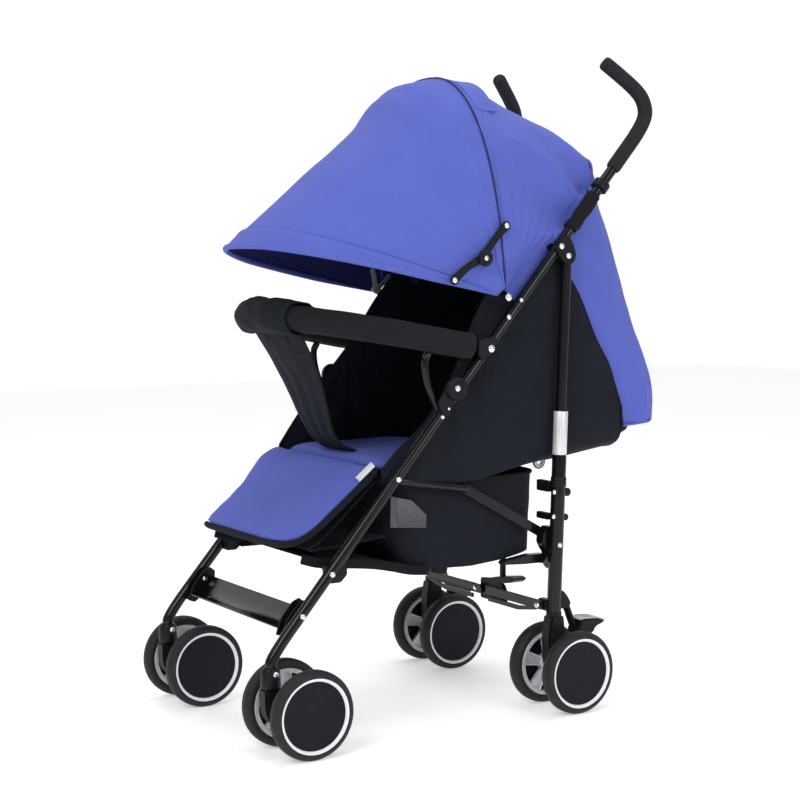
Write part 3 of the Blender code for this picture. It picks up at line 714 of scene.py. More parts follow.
# ---- rear legs ----------------------------------------------------------------------------
def rear_leg(side, sx):
    body = "rear_leg_" + side
    slim = [at(sx * LEG_X, rear_y(z), z) for z in (0.752, 0.700, 0.600, SLEEVE_TOP - 0.01)]
    piece("rear_tube_" + side, tube_mesh("slim", slim, TUBE_R, 24), PAINT, body,
          ("rear_leg_" + side,))
    heights = [0.1588, 0.25, 0.35, BAND_LOW - 0.004, BAND_LOW, SLEEVE_TOP - 0.003, SLEEVE_TOP]
    sleeve = [at(sx * LEG_X, rear_y(z), z) for z in heights]
    width = [SLEEVE_R, SLEEVE_R, SLEEVE_R, SLEEVE_R, 0.0112, 0.0112, 0.0100]
    bm = bmesh.new()
    sweep(bm, sleeve, lambda i, share: circle(width[i], 28))
    piece("rear_sleeve_" + side, mesh_of("sleeve", bm), PAINT, body)
    band = [at(sx * LEG_X, rear_y(z), z) for z in (BAND_LOW, BAND_LOW + 0.001, 0.5005, 0.5015)]
    grow = [0.0114, 0.0119, 0.0119, 0.0114]
    bm = bmesh.new()
    sweep(bm, band, lambda i, share: circle(grow[i], 32))
    piece("reflective_band_" + side, mesh_of("band", bm), TAPE, body)
    fork_rear(side, sx)
    clamp(side, sx)
    heads = []
    for y, z in ((-0.013, 0.278), (-0.021, 0.326), (-0.020, 0.367)):
        depth = math.sqrt(SLEEVE_R ** 2 - min(abs(y - rear_y(z)), 0.0105) ** 2)
        heads.append((at(sx * (LEG_X + depth - 0.0006), y, z), (sx, 0, 0), 0.0044, 0.0028))
    heads.append((at(sx * (BRACE_X - 0.001), rear_y(BRACE_Z) - 0.0205 - 0.004, BRACE_Z), (0, -1, 0),
                  0.0052, 0.0030))
    rivets("rear_rivets_" + side, heads, body)


def clamp(side, sx):
    """Ring round the sleeve, two short links to the basket and the gusset of the side link."""
    body = "rear_leg_" + side
    rings = [at(sx * LEG_X, rear_y(z), z) for z in (0.375, 0.3765, 0.3900, 0.3915)]
    bm = bmesh.new()
    sweep(bm, rings, lambda i, share: circle((0.0124, 0.0132, 0.0132, 0.0124)[i], 28))
    parts = [mesh_of("ring", bm)]
    for low_z, high_z in ((0.3665, 0.3845), (0.3195, 0.3305)):
        outline = [(sx * 0.1480, low_z), (sx * (LEG_X - 0.006), low_z),
                   (sx * (LEG_X - 0.006), high_z),
                   (sx * 0.1480, high_z)]
        parts.append(plate_mesh("link", outline, -0.0260, -0.0160, 0.0012, "Y"))
    for knob_y, knob_z, size in ((0.0085, 0.365, 0.0070), (0.0050, 0.323, 0.0058)):
        profile = [(-0.009, 0.0001), (-0.009, size - 0.0014), (-0.0075, size), (0.0035, size),
                   (0.0050, size - 0.0014), (0.0050, 0.0001)]
        parts.append(turn_mesh("knob", [(sx * a, r) for a, r in profile],
                               at(sx * LEG_X, knob_y, knob_z), 28))
    piece("leg_clamp_" + side, join_meshes("clamp", parts), PLASTIC, body)
    gusset = [(-0.0360, 0.2830), (-0.0340, 0.2980), (-0.0240, 0.3080), (-0.0120, 0.3080),
              (-0.0080, 0.3000), (-0.0060, 0.2420), (-0.0140, 0.2340), (-0.0230, 0.2440),
              (-0.0250, 0.2650), (-0.0310, 0.2720)]
    low, high = sorted((sx * 0.1612, sx * (LEG_X - 0.006)))
    plates = [plate_mesh("gusset", gusset, low, high, 0.0010)]
    rail = [(-0.1040, 0.2480), (-0.1030, 0.2535), (-0.0500, 0.2605), (-0.0200, 0.2600),
            (-0.0060, 0.2560), (-0.0080, 0.2410), (-0.0300, 0.2450), (-0.0620, 0.2455)]
    low, high = sorted((sx * 0.1470, sx * 0.1640))
    plates.append(plate_mesh("rail", rail, low, high, 0.0012))
    piece("leg_gusset_" + side, join_meshes("gusset", plates), PAINT, body)
    mount = [(sx * 0.1600, 0.1660), (sx * LEG_X, 0.1660), (sx * LEG_X, 0.1850),
             (sx * 0.1600, 0.1850)]
    piece("brace_mount_" + side, plate_mesh("mount", mount, -0.0300, -0.0170, 0.0012, "Y"),
          PLASTIC, body)


def fork_rear(side, sx):
    """Rear axle housing: a slim block between the wheels with the axle through it."""
    body = "rear_leg_" + side
    outline = [(-0.0285, 0.1600), (-0.0035, 0.1600), (-0.0010, 0.1500), (0.0000, 0.1200),
               (0.0060, 0.0920), (0.0100, 0.0730), (0.0085, 0.0570), (0.0010, 0.0500),
               (-0.0110, 0.0500), (-0.0210, 0.0600), (-0.0330, 0.0830), (-0.0325, 0.1050),
               (-0.0340, 0.1250), (-0.0305, 0.1480)]
    low, high = sorted((sx * (LEG_X - 0.0126), sx * (LEG_X + 0.0126)))
    parts = [plate_mesh("block", outline, low, high, 0.0034), axle_mesh(sx, 0.0)]
    collar = [at(sx * LEG_X, rear_y(z), z) for z in (0.1560, 0.1575, 0.1640, 0.1655)]
    bm = bmesh.new()
    sweep(bm, collar, lambda i, share: circle((0.0122, 0.0130, 0.0130, 0.0122)[i], 28))
    parts.append(mesh_of("collar", bm))
    piece("rear_housing_" + side, join_meshes("housing", parts), PLASTIC, body,
          ("rear_fork_" + side,))


def axle_mesh(sx, y):
    reach = WHEEL_OFFSET + 0.004
    path = [at(sx * LEG_X + reach * k, y, AXLE_Z) for k in (-1, -0.5, 0.5, 1)]
    bm = bmesh.new()
    sweep(bm, path, lambda i, share: circle(0.0049, 20), up=Vector((0, 1, 0)))
    return mesh_of("axle", bm)


def front_fork(side, sx):
    """Trailing swivel fork: its neck turns under the socket and its foot holds the axle."""
    body = "front_fork_" + side
    top = SOCKET_LOW - 0.0006
    outline = [(-0.5670, top), (-0.5370, top), (-0.5330, 0.1010), (-0.5180, 0.0935),
               (-0.4980, 0.0860),
               (-0.4895, 0.0760), (-0.4895, 0.0620), (-0.4980, 0.0520), (-0.5200, 0.0490),
               (-0.5450, 0.0490), (-0.5590, 0.0560), (-0.5660, 0.0740)]
    low, high = sorted((sx * (LEG_X - 0.0128), sx * (LEG_X + 0.0128)))
    parts = [plate_mesh("fork", outline, low, high, 0.0034), axle_mesh(sx, FRONT_AXLE_Y)]
    rib = [(-0.5600, 0.0950), (-0.5420, 0.0950), (-0.5160, 0.0830), (-0.5020, 0.0760),
           (-0.5020, 0.0620), (-0.5420, 0.0570), (-0.5550, 0.0640)]
    low, high = sorted((sx * (LEG_X - 0.0140), sx * (LEG_X + 0.0140)))
    parts.append(plate_mesh("rib", rib, low, high, 0.0012))
    piece("swivel_fork_" + side, join_meshes("fork", parts), PLASTIC, body,
          ("front_fork_" + side,))


def folding_links(side, sx):
    """Seat tube, side link and the halves of the two cross braces."""
    x = sx * (LEG_X - TUBE_R - 0.009)
    ends = [at(x, *SEAT_PIVOT), at(x, *SEAT_PIVOT).lerp(at(x, *LINK_TOP), 0.5), at(x, *LINK_TOP)]
    piece("seat_rail_" + side, tube_mesh("rail", ends, 0.0070, 20, 0.004), PAINT,
          "seat_tube_" + side, ("seat_tube_" + side,))
    low, high = sorted((sx * 0.1565, sx * 0.1605))
    link = plate_mesh("link", bar_outline(LINK_TOP, LINK_LOW, 0.008), low, high, 0.0008)
    piece("link_plate_" + side, link, PAINT, "side_link_" + side,
          ("side_link_" + side,))
    heads = [(at(sx * 0.1565, *LINK_TOP), (-sx, 0, 0), 0.0042, 0.0022),
             (at(sx * 0.1565, *LINK_LOW), (-sx, 0, 0), 0.0042, 0.0022)]
    rivets("link_rivets_" + side, heads, "side_link_" + side)
    for end, y_low, z in (("rear", -0.0345 if sx > 0 else -0.0395, BRACE_Z),
                          ("front", -0.429 if sx > 0 else -0.424, BRACE_FRONT_Z)):
        cross_bar(end, side, sx, y_low, z)


def cross_bar(end, side, sx, y_low, z):
    """Half of a cross brace: a pressed channel, riveted at its centre and its leg."""
    body = end + "_brace_" + side
    half = 0.0080 if end == "rear" else 0.0062
    reach = 0.171 if end == "rear" else 0.165
    front = -1 if (end == "rear") == (sx < 0) else 1
    face = y_low - 0.0018 if front < 0 else y_low + 0.0033
    middle = z if end == "rear" else z + 0.030
    parts = [plate_mesh("bar", bar_outline((0.0, middle), (sx * reach, z), half, 10), y_low,
                        y_low + 0.004, 0.0010, "Y")]
    for edge in (-1, 1):
        inner, outer = sorted((edge * (half - 0.0030), edge * (half - 0.0008)))
        far, near = middle + (z - middle) * 0.1, middle + (z - middle) * 0.92
        rib = [(sx * 0.016, far + inner), (sx * 0.155, near + inner), (sx * 0.155, near + outer),
               (sx * 0.016, far + outer)]
        parts.append(plate_mesh("rib", rib, face, face + 0.0025, 0.0006, "Y"))
    if end == "rear":
        low_bar = [(sx * 0.020, 0.1560), (sx * 0.108, 0.1560), (sx * 0.160, 0.1650),
                   (sx * 0.160, 0.1700),
                   (sx * 0.108, 0.1640), (sx * 0.020, 0.1640)]
        parts.append(plate_mesh("low_bar", low_bar, y_low, y_low + 0.004, 0.0008, "Y"))
    piece(end + "_bar_" + side, join_meshes("bar", parts), PAINT, body,
          (end + "_brace_" + side,))
    face = y_low if front < 0 else y_low + 0.004
    look = CHROME if end == "rear" else PLASTIC
    heads = [(at(sx * (reach - 0.001), face, z), (0, front, 0), 0.0050, 0.0026),
             (at(sx * 0.012, face, middle), (0, front, 0), 0.0046, 0.0024)]
    rivets(end + "_bar_rivets_" + side, heads, body, look)


def brace_centre():
    """Moulded centre of the rear brace with its foot latch and upright post."""
    body = "rear_brace_L"
    block = [(-0.010, 0.1570), (0.062, 0.1570), (0.066, 0.1640), (0.066, 0.1770), (0.058, 0.1900),
             (0.030, 0.1980), (-0.010, 0.1930)]
    parts = [plate_mesh("block", block, -0.0300, -0.0225, 0.0018, "Y")]
    latch = [(0.018, 0.1930), (0.030, 0.2000), (0.084, 0.2085), (0.095, 0.2055), (0.086, 0.1985),
             (0.060, 0.1930)]
    parts.append(plate_mesh("latch", latch, -0.0340, -0.0040, 0.0016, "Y"))
    post = [(0.0440, 0.1950), (0.0540, 0.1950), (0.0540, 0.2480), (0.0440, 0.2480)]
    parts.append(plate_mesh("post", post, -0.0270, -0.0190, 0.0014, "Y"))
    piece("brace_centre", join_meshes("centre", parts), PLASTIC, body)
    heads = [(at(0.036, -0.0300, 0.1700), (0, -1, 0), 0.0040, 0.0022),
             (at(0.054, -0.0300, 0.1650), (0, -1, 0), 0.0040, 0.0022)]
    rivets("brace_centre_rivets", heads, body, PLASTIC)


def brake(side, sx):
    """Foot lever with a pale tread and a curved arm behind the wheels."""
    body = "brake_pedal_" + side
    outline = [(0.0230, 0.1300), (0.0250, 0.1225), (0.0380, 0.1215), (0.0575, 0.1220),
               (0.0640, 0.1330), (0.0790, 0.1375), (0.0845, 0.1410), (0.0660, 0.1470),
               (0.0400, 0.1485), (0.0290, 0.1465), (0.0300, 0.1390)]
    low, high = sorted((sx * (LEG_X - 0.0150), sx * (LEG_X + 0.0150)))
    piece("brake_lever_" + side, plate_mesh("lever", outline, low, high, 0.0022), PLASTIC, body,
          ("brake_pedal_" + side,))
    tread = [(0.0280, 0.1468), (0.0400, 0.1482), (0.0660, 0.1466), (0.0835, 0.1408),
             (0.0850, 0.1424), (0.0670, 0.1492), (0.0400, 0.1512), (0.0285, 0.1490)]
    low, high = sorted((sx * (LEG_X - 0.0146), sx * (LEG_X + 0.0146)))
    parts = [plate_mesh("tread", tread, low, high, 0.0008)]
    for step in range(6):
        y = 0.0400 + step * 0.0048
        top = 0.1511 - 0.0022 * (step / 5) ** 1.5
        rib = [(y, top - 0.0010), (y + 0.0024, top - 0.0011), (y + 0.0019, top + 0.0004),
               (y + 0.0005, top + 0.0005)]
        near, far = sorted((sx * (LEG_X - 0.0125), sx * (LEG_X + 0.0125)))
        parts.append(plate_mesh("rib", rib, near, far, 0.0003))
    piece("brake_tread_" + side, join_meshes("tread", parts), PALE, body)
    arm = smooth_path([at(sx * LEG_X, y, z) for y, z in
                       ((0.0050, 0.1800), (0.0120, 0.1660), (0.0185, 0.1500), (0.0240, 0.1380),
                        (0.0290, 0.1290))], 5)
    bm = bmesh.new()
    sweep(bm, arm, lambda i, share: [(a * 1.8, b) for a, b in circle(0.0048, 16)])
    piece("brake_arm_" + side, mesh_of("arm", bm), PLASTIC, body)
    ear = [(-0.0100, 0.2020), (-0.0010, 0.1990), (0.0070, 0.1900), (0.0140, 0.1780),
           (0.0110, 0.1700), (0.0020, 0.1690), (-0.0100, 0.1700)]
    low, high = sorted((sx * (LEG_X - 0.0090), sx * (LEG_X + 0.0090)))
    piece("brake_ear_" + side, plate_mesh("ear", ear, low, high, 0.0014), PLASTIC,
          "rear_leg_" + side)


def hood_stays(side, sx):
    """The hood's folding stay: two curved links joined at a round knob."""
    upper, lower = "canopy_stay_upper_" + side, "canopy_stay_lower_" + side
    low, high = sorted((sx * 0.1935, sx * 0.1965))
    outline = curved_link((-0.124, 0.807), (-0.170, 0.755), 0.0078, -0.002)
    piece("stay_link_top_" + side, plate_mesh("link", outline, low, high, 0.0007), PLASTIC, upper,
          (upper,))
    low, high = sorted((sx * 0.1972, sx * 0.2002))
    outline = curved_link((-0.170, 0.755), (-0.227, 0.720), 0.0078, -0.004)
    piece("stay_link_low_" + side, plate_mesh("link", outline, low, high, 0.0007), PLASTIC, lower,
          (lower,))
    profile = [(0.0, 0.0001), (0.0, 0.0125), (0.0012, 0.0138), (0.0042, 0.0134), (0.0056, 0.0112),
               (0.0050, 0.0092), (0.0054, 0.0001)]
    knob = turn_mesh("knob", [(sx * a, r) for a, r in profile], at(sx * 0.2002, -0.170, 0.755), 36)
    piece("stay_knob_" + side, knob, PLASTIC, lower)
    rivets("stay_knob_rivet_" + side,
           [(at(sx * 0.2054, -0.170, 0.755), (sx, 0, 0), 0.0040, 0.0020)],
           lower)
    rivets("stay_rivet_top_" + side, [(at(sx * 0.1965, -0.124, 0.807), (sx, 0, 0), 0.0048, 0.0028)],
           upper)
    rivets("stay_rivet_low_" + side, [(at(sx * 0.2002, -0.227, 0.720), (sx, 0, 0), 0.0048, 0.0028)],
           lower)


def curved_link(a, b, half, sag):
    """Outline of a flat link from a to b that bows by sag between its ends."""
    a, b = Vector(a), Vector(b)
    run = (b - a).normalized()
    side = Vector((-run.y, run.x))
    top, low = [], []
    for step in range(13):
        share = step / 12
        middle = a.lerp(b, share) + side * sag * 4 * share * (1 - share)
        width = half * (1 - 0.25 * 4 * share * (1 - share))
        top.append(middle + side * width)
        low.append(middle - side * width)
    cap_b = [b + run * half * math.sin(t) + side * half * math.cos(t)
             for t in (0.4, 0.9, 1.57, 2.24, 2.74)]
    cap_a = [a - run * half * math.sin(t) - side * half * math.cos(t)
             for t in (0.4, 0.9, 1.57, 2.24, 2.74)]
    return [tuple(p) for p in top + cap_b + low[::-1] + cap_a]


def footrest():
    """Glossy dished plate between the front legs with rolled edges."""
    steps = 24
    rows = []
    for i in range(steps + 1):
        share = i / steps
        y = -0.521 + 0.036 * share
        z = 0.190 + 0.027 * share - 0.008 * (1 - (2 * share - 1) ** 2)
        rows.append((y, z))
    outline = [(y, z + 0.0015) for y, z in rows]
    roll = [(rows[-1][0] + 0.0022, rows[-1][1] + 0.0006),
            (rows[-1][0] + 0.0022, rows[-1][1] - 0.0012)]
    under = [(y, z - 0.0015) for y, z in reversed(rows)]
    front = [(rows[0][0] - 0.0022, rows[0][1] - 0.0012), (rows[0][0] - 0.0022, rows[0][1] + 0.0006)]
    plate = plate_mesh("plate", outline + roll + under + front, -0.1545, 0.1545, 0.0006)
    fold_soft(piece("foot_plate", plate, GLOSS, "seat_unit", ("footrest_plate",)))


# ---- build the hard parts -----------------------------------------------------------------
for SIDE, SX in SIDES:
    side_frame(SIDE, SX)
    rear_leg(SIDE, SX)
    front_fork(SIDE, SX)
    folding_links(SIDE, SX)
    brake(SIDE, SX)
    hood_stays(SIDE, SX)
    for PLACE in ("out", "in"):
        wheel(SIDE, SX, "rear", PLACE, 0.0)
        wheel(SIDE, SX, "front", PLACE, FRONT_AXLE_Y)
brace_centre()


# ---- cloth building blocks ----------------------------------------------------------------
def spread(values, steps):
    """Rows of numbers interpolated smoothly, steps rows for each given one."""
    knots = [np.array(v, float) for v in values]
    ends = [2 * knots[0] - knots[1]] + knots + [2 * knots[-1] - knots[-2]]
    rows = []
    for i in range(1, len(ends) - 2):
        p0, p1, p2, p3 = ends[i - 1:i + 3]
        for step in range(steps):
            t = step / steps
            rows.append(0.5 * (2 * p1 + (p2 - p0) * t + (2 * p0 - 5 * p1 + 4 * p2 - p3) * t ** 2
                               + (3 * p1 - p0 - 3 * p2 + p3) * t ** 3))
    rows.append(knots[-1])
    return rows


def grid_normals(points, inside):
    """Unit normals of a grid of points, pointing away from a place inside it."""
    along = np.gradient(points, axis=0)
    across = np.gradient(points, axis=1)
    normals = np.cross(along, across)
    length = np.linalg.norm(normals, axis=2, keepdims=True)
    normals = normals / np.maximum(length, 1e-12)
    if np.mean(np.sum(normals * (points - np.array(inside)), axis=2)) < 0:
        normals = -normals
    return normals


def ripple(point, scale, seed=0.0, stretch=(1, 1, 1)):
    """Smooth noise from -1 to 1 at a place."""
    return noise.noise(Vector((point[0] * stretch[0] * scale + seed, point[1] * stretch[1] * scale,
                               point[2] * stretch[2] * scale - seed)))


def cloth_mesh(name, rows, thick, inside, relief=None):
    """Cloth of two faces, thick apart, from rows of points; relief(u, v, point) lifts it out."""
    points = np.array([[tuple(p) for p in row] for row in rows], float)
    count, width = points.shape[:2]
    if relief:
        normals = grid_normals(points, inside)
        lift = np.array([[relief(i / (count - 1), j / (width - 1), points[i, j])
                          for j in range(width)] for i in range(count)])
        points = points + normals * lift[:, :, None]
    normals = grid_normals(points, inside)
    outer = points + normals * thick / 2
    inner = points - normals * thick / 2
    verts = [tuple(p) for p in outer.reshape(-1, 3)] + [tuple(p) for p in inner.reshape(-1, 3)]
    first, second = outer[1, 0] - outer[0, 0], outer[0, 1] - outer[0, 0]
    flip = np.dot(np.cross(first, second), normals[0, 0]) < 0
    faces, looks = [], []
    shift = count * width
    for i in range(count - 1):
        for j in range(width - 1):
            a, b = i * width + j, i * width + j + 1
            c, d = a + width, b + width
            quad = (a, c, d, b) if not flip else (a, b, d, c)
            faces.append(quad)
            looks.append(0)
            faces.append(tuple(shift + k for k in reversed(quad)))
            looks.append(1)
    edge = [(0, j) for j in range(width)] + [(i, width - 1) for i in range(1, count)]
    edge += [(count - 1, j) for j in range(width - 2, -1, -1)]
    edge += [(i, 0) for i in range(count - 2, 0, -1)]
    ids = [i * width + j for i, j in edge]
    for k, a in enumerate(ids):
        b = ids[(k + 1) % len(ids)]
        faces.append((a, b, shift + b, shift + a) if not flip else (b, a, shift + a, shift + b))
        looks.append(0)
    data = bpy.data.meshes.new(name)
    data.from_pydata(verts, [], faces)
    data.polygons.foreach_set("material_index", looks)
    data.validate()
    bm = bmesh.new()
    bm.from_mesh(data)
    bmesh.ops.recalc_face_normals(bm, faces=bm.faces)
    bm.to_mesh(data)
    bm.free()
    shade(data, 60)
    return data


def grid_area(rows):
    """Area of the cloth that a grid of points spans."""
    points = np.array([[tuple(p) for p in row] for row in rows], float)
    a = points[1:, :-1] - points[:-1, :-1]
    b = points[:-1, 1:] - points[:-1, :-1]
    c = points[1:, :-1] - points[1:, 1:]
    d = points[:-1, 1:] - points[1:, 1:]
    area = np.linalg.norm(np.cross(a, b), axis=2) / 2 + np.linalg.norm(np.cross(c, d), axis=2) / 2
    return float(area.sum())


def cut_area(rows, flat):
    """The cut's area, which can't be more than its flat width times its length."""
    return min(0.95 * grid_area(rows), 0.97 * flat[0] * flat[1])


def run_length(points):
    return sum((Vector(b) - Vector(a)).length for a, b in zip(points, points[1:]))


def fold_soft(obj):
    """Give a soft piece a mesh of its own."""
    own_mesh(obj)
    return obj


def bell(x, centre, width):
    return math.exp(-((x - centre) / width) ** 2)


def piping(name, path, radius, body, look):
    """Round binding along an edge or seam."""
    return piece(name, tube_mesh(name, path, radius, 10), look, body)


def stitches(name, path, body, look, out, step=0.0042, length=0.0026, radius=0.00042):
    """A row of sewn stitches: short raised threads laid along a path."""
    bm = bmesh.new()
    points = [Vector(p) for p in path]
    carry = 0.0
    for a, b in zip(points, points[1:]):
        run = b - a
        span = run.length
        if span < 1e-9:
            continue
        ahead = run / span
        while carry < span:
            centre = a + ahead * carry
            rise = out(centre) if callable(out) else Vector(out)
            low, high = centre - ahead * length / 2, centre + ahead * length / 2
            middle = centre + rise * radius * 0.8
            sweep(bm, [low - rise * radius, middle, high - rise * radius],
                  lambda i, share: circle((0.6, 1.0, 0.6)[i] * radius, 6), up=rise.orthogonal())
            carry += step
        carry -= span
    return piece(name, mesh_of(name, bm), look, body)


# ---- canopy -------------------------------------------------------------------------------
FRONT_HOOPS = ((10.5, 0.401), (21, 0.355), (32, 0.326), (46, 0.311), (56, 0.310), (65, 0.321),
               (74, 0.350), (86.4, 0.364))
LAST_HOOP = (136, 0.350, 0.1725, 3.4)
REAR_HOOPS = ((87.4, 0.364, 0.190, 2.4), (98, 0.344, 0.189, 2.6), (108, 0.331, 0.186, 2.8),
              (118, 0.333, 0.181, 3.0), (128, 0.344, 0.175, 3.2), LAST_HOOP)
HOOD_INSIDE = tuple(at(0, -0.12, 0.80))
LOWEST = 0.045
HOOD_POWER = 2.4


def bow_point(angle, reach, half, across, lift=0.0, power=HOOD_POWER, lowest=LOWEST):
    """A place on the hood: angle from straight ahead, across from -1 to 1."""
    share = 1 - abs(across) ** 1.5 * (1 - lowest)
    x = half * (1 - share ** power) ** (1 / power)
    out = (reach + lift) * share
    turn = math.radians(angle)
    y = CANOPY_PIVOT[0] - out * math.cos(turn)
    z = CANOPY_PIVOT[1] + out * math.sin(turn)
    return at(math.copysign(x, across) if across else 0.0, y, z)


def hood_rows(hoops, steps, width):
    rows = []
    for angle, reach, half, power in spread(hoops, steps):
        rows.append([bow_point(angle, reach, half, -1 + 2 * j / width, 0.0, power)
                     for j in range(width + 1)])
    return rows


def hood_back(width, lowest, drop):
    """The hood's last hoop, lowered square to the push tubes and pulled out to them."""
    angle, reach, half, power = LAST_HOOP
    down = Vector((0, LEG_SLOPE, -1)).normalized()
    edge = []
    for j in range(width + 1):
        across = -1 + 2 * j / width
        point = bow_point(angle, reach, half, across, 0.0, power, lowest)
        above = (point.z - leg_z(point.y - SHIFT_Y)) / math.hypot(1, LEG_SLOPE)
        point = point + down * (max(above, 0) + drop)
        pull = min(1.0, max(0.0, (0.085 - (point.y - SHIFT_Y)) / 0.030))
        pull = pull * pull * (3 - 2 * pull)
        point.x += (math.copysign(0.1735, across) - point.x) * pull
        edge.append(point)
    return edge


def rear_rows(width):
    """The hood's rear panel, carried down from its last hoop to the line of the push tubes."""
    rows = hood_rows(((85.6, 0.3612, 0.1880, 2.4),) + REAR_HOOPS, 12, width)
    last, edge = rows[-1], hood_back(width, LOWEST, 0.004)
    for step in range(1, 7):
        rows.append([p.lerp(q, step / 6) for p, q in zip(last, edge)])
    return rows


def front_relief(u, v, point):
    """Hem band, stitch line, padded ridge over the second bow and soft folds."""
    side = abs(2 * v - 1)
    lift = 0.0020 * (1 - min(1, max(0, (u - 0.085) / 0.006)))
    lift += 0.0014 * bell(u, 0.074, 0.010) - 0.0014 * bell(u, 0.098, 0.005)
    lift += 0.0030 * bell(u, 0.905, 0.030) - 0.0012 * bell(u, 0.858, 0.012)
    calm = min(1, u / 0.2) * min(1, (1 - u) / 0.15)
    lift += calm * 0.0018 * ripple(point, 7, 3.0)
    lift += calm * 0.0008 * ripple(point, 16, 7.0, (1, 0.6, 1.4))
    lift += side ** 3 * 0.0022 * ripple(point, 26, 11.0) * min(1, (1 - u) / 0.08)
    return lift


def rear_relief(u, v, point):
    """Creases that run from the pivots up towards the grips, and a hem at the back edge."""
    side = abs(2 * v - 1)
    edge = min(1, u / 0.12)
    strength = edge * bell(side, 0.62, 0.26)
    ahead = 0.125 + SHIFT_Y - point[1]
    fan = math.atan2(point[2] - 0.795, ahead)
    ridge = 1 - 2 * abs(math.sin(fan * 5.5 + 1.2 * ripple(point, 6, 2.0)))
    near = math.exp(-(math.hypot(ahead - 0.02, point[2] - 0.84) / 0.16) ** 2)
    lift = edge * min(1, side / 0.35) * 0.0110 * ridge * near
    lift += strength * 0.0030 * ridge
    lift += edge * 0.0034 * ripple(point, 9, 5.0) + edge * 0.0014 * ripple(point, 24, 9.0)
    lift += edge * side ** 4 * 0.0018 * math.sin(u * 50)
    return lift


def lip_shift(ahead, across):
    """The lip stands a little higher and further back in its middle and near half."""
    side = min(1.0, max(0.0, (across + 0.40) / 0.50)) * (1 - abs(across) ** 3)
    return Vector((0, 0.009, 0.0065)) * (max(0.0, 1 - ahead / 0.17) ** 2 * side)


def hood_front():
    width = 84
    rows = hood_rows([(*hoop, CANOPY_HALF, HOOD_POWER) for hoop in FRONT_HOOPS], 12, width)
    last = len(rows) - 1
    rows = [[p + lip_shift(i / last, -1 + 2 * j / width) for j, p in enumerate(row)]
            for i, row in enumerate(rows)]
    data = cloth_mesh("hood_front", rows, 0.0022, HOOD_INSIDE, front_relief)
    # The inner faces get the darker blue: painted shade under the hood.
    obj = piece("hood_front", data, BLUE, "canopy_front",
                ("canopy_front",), BLUE_SHADED_UNDERSIDE)
    hem = [bow_point(11.2, 0.4000, CANOPY_HALF, -1 + 2 * j / 90) + lip_shift(0.01, -1 + 2 * j / 90)
           for j in range(91)]
    bm = bmesh.new()
    sweep(bm, hem,
          lambda i, share: circle(0.0012 + 0.0036 * min(1, 9 * share, 9 * (1 - share)), 14))
    rim = piece("hood_front_hem", mesh_of("hem", bm, 60), BLUE, "canopy_front")
    seam = [bow_point(86.0, 0.3658, CANOPY_HALF + 0.0014, -1 + 2 * j / 90) for j in range(91)]
    cord = piping("hood_seam_piping", seam, 0.0017, "canopy_front", NAVY_TAPE)
    out = lambda p: (p - Vector(HOOD_INSIDE)).normalized()
    line = spread([(*hoop, CANOPY_HALF) for hoop in FRONT_HOOPS], 12)
    marks = []
    for k, row in enumerate((8, 90)):
        hoop = line[min(row, len(line) - 1)]
        lift = 0.0022 if k else 0.0018
        path = [bow_point(hoop[0] - (1.2 if k else 0), hoop[1] + lift, CANOPY_HALF + lift * 0.7,
                          -0.97 + 1.94 * j / 160) + lip_shift(row / 84, -0.97 + 1.94 * j / 160)
                for j in range(161)]
        marks.append(stitches("hood_stitches_%d" % k, path, "canopy_front", BLUE, out))
    binding = []
    for side, sx in SIDES:
        low = [bow_point(hoop[0], hoop[1], CANOPY_HALF, sx * 1.0) for hoop in line]
        binding.append(piping("hood_corner_binding_" + side, low, 0.0019, "canopy_front", BLUE))
    for soft in [obj, rim, cord] + marks + binding:
        fold_soft(soft)
    flat = (run_length(rows[-1]), run_length([row[width // 2] for row in rows]))
    cut_area(rows, flat)
    return obj


def hood_rear():
    width = 84
    rows = rear_rows(width)
    data = cloth_mesh("hood_rear", rows, 0.0022, HOOD_INSIDE, rear_relief)
    # The inner faces get the darker blue: painted shade under the hood.
    obj = piece("hood_rear", data, BLUE, "seat_unit", ("canopy_rear",), BLUE_SHADED_UNDERSIDE)
    rim = piping("hood_rear_hem", rows[-1], 0.0019, "seat_unit", BLUE)
    flap_rows = []
    for i in range(9):
        angle = 88.0 + 7.0 * i / 8
        lift = 0.0010 + 0.0110 * (i / 8) ** 1.4
        reach = 0.364 - 0.0019 * (angle - 87.4) + lift
        flap_rows.append([bow_point(angle, reach, 0.189, -0.30 + 0.60 * j / 40)
                          for j in range(41)])
    # The flap's underside gets the darker blue: painted shade under the flap.
    flap = piece("hood_vent_flap", cloth_mesh("flap", flap_rows, 0.0020, HOOD_INSIDE,
                                              lambda u, v, p: 0.0018 * ripple(p, 20, 4.0) * u),
                 BLUE, "seat_unit", (), BLUE_SHADED_UNDERSIDE)
    edge = piping("hood_flap_edge", flap_rows[-1], 0.0015, "seat_unit", BLUE)
    marks = []
    out = lambda p: (p - Vector(HOOD_INSIDE)).normalized()
    path = [bow_point(89.4, 0.3622, 0.1902, -0.97 + 1.94 * j / 160) for j in range(161)]
    marks.append(stitches("hood_rear_stitches", path, "seat_unit", BLUE, out))
    for soft in [obj, rim, flap, edge] + marks:
        fold_soft(soft)
    flat = (run_length(rows[0]), run_length([row[width // 2] for row in rows]))
    cut_area(rows, flat)
    run_length(flap_rows[-1])
    run_length([row[20] for row in flap_rows])
    return obj


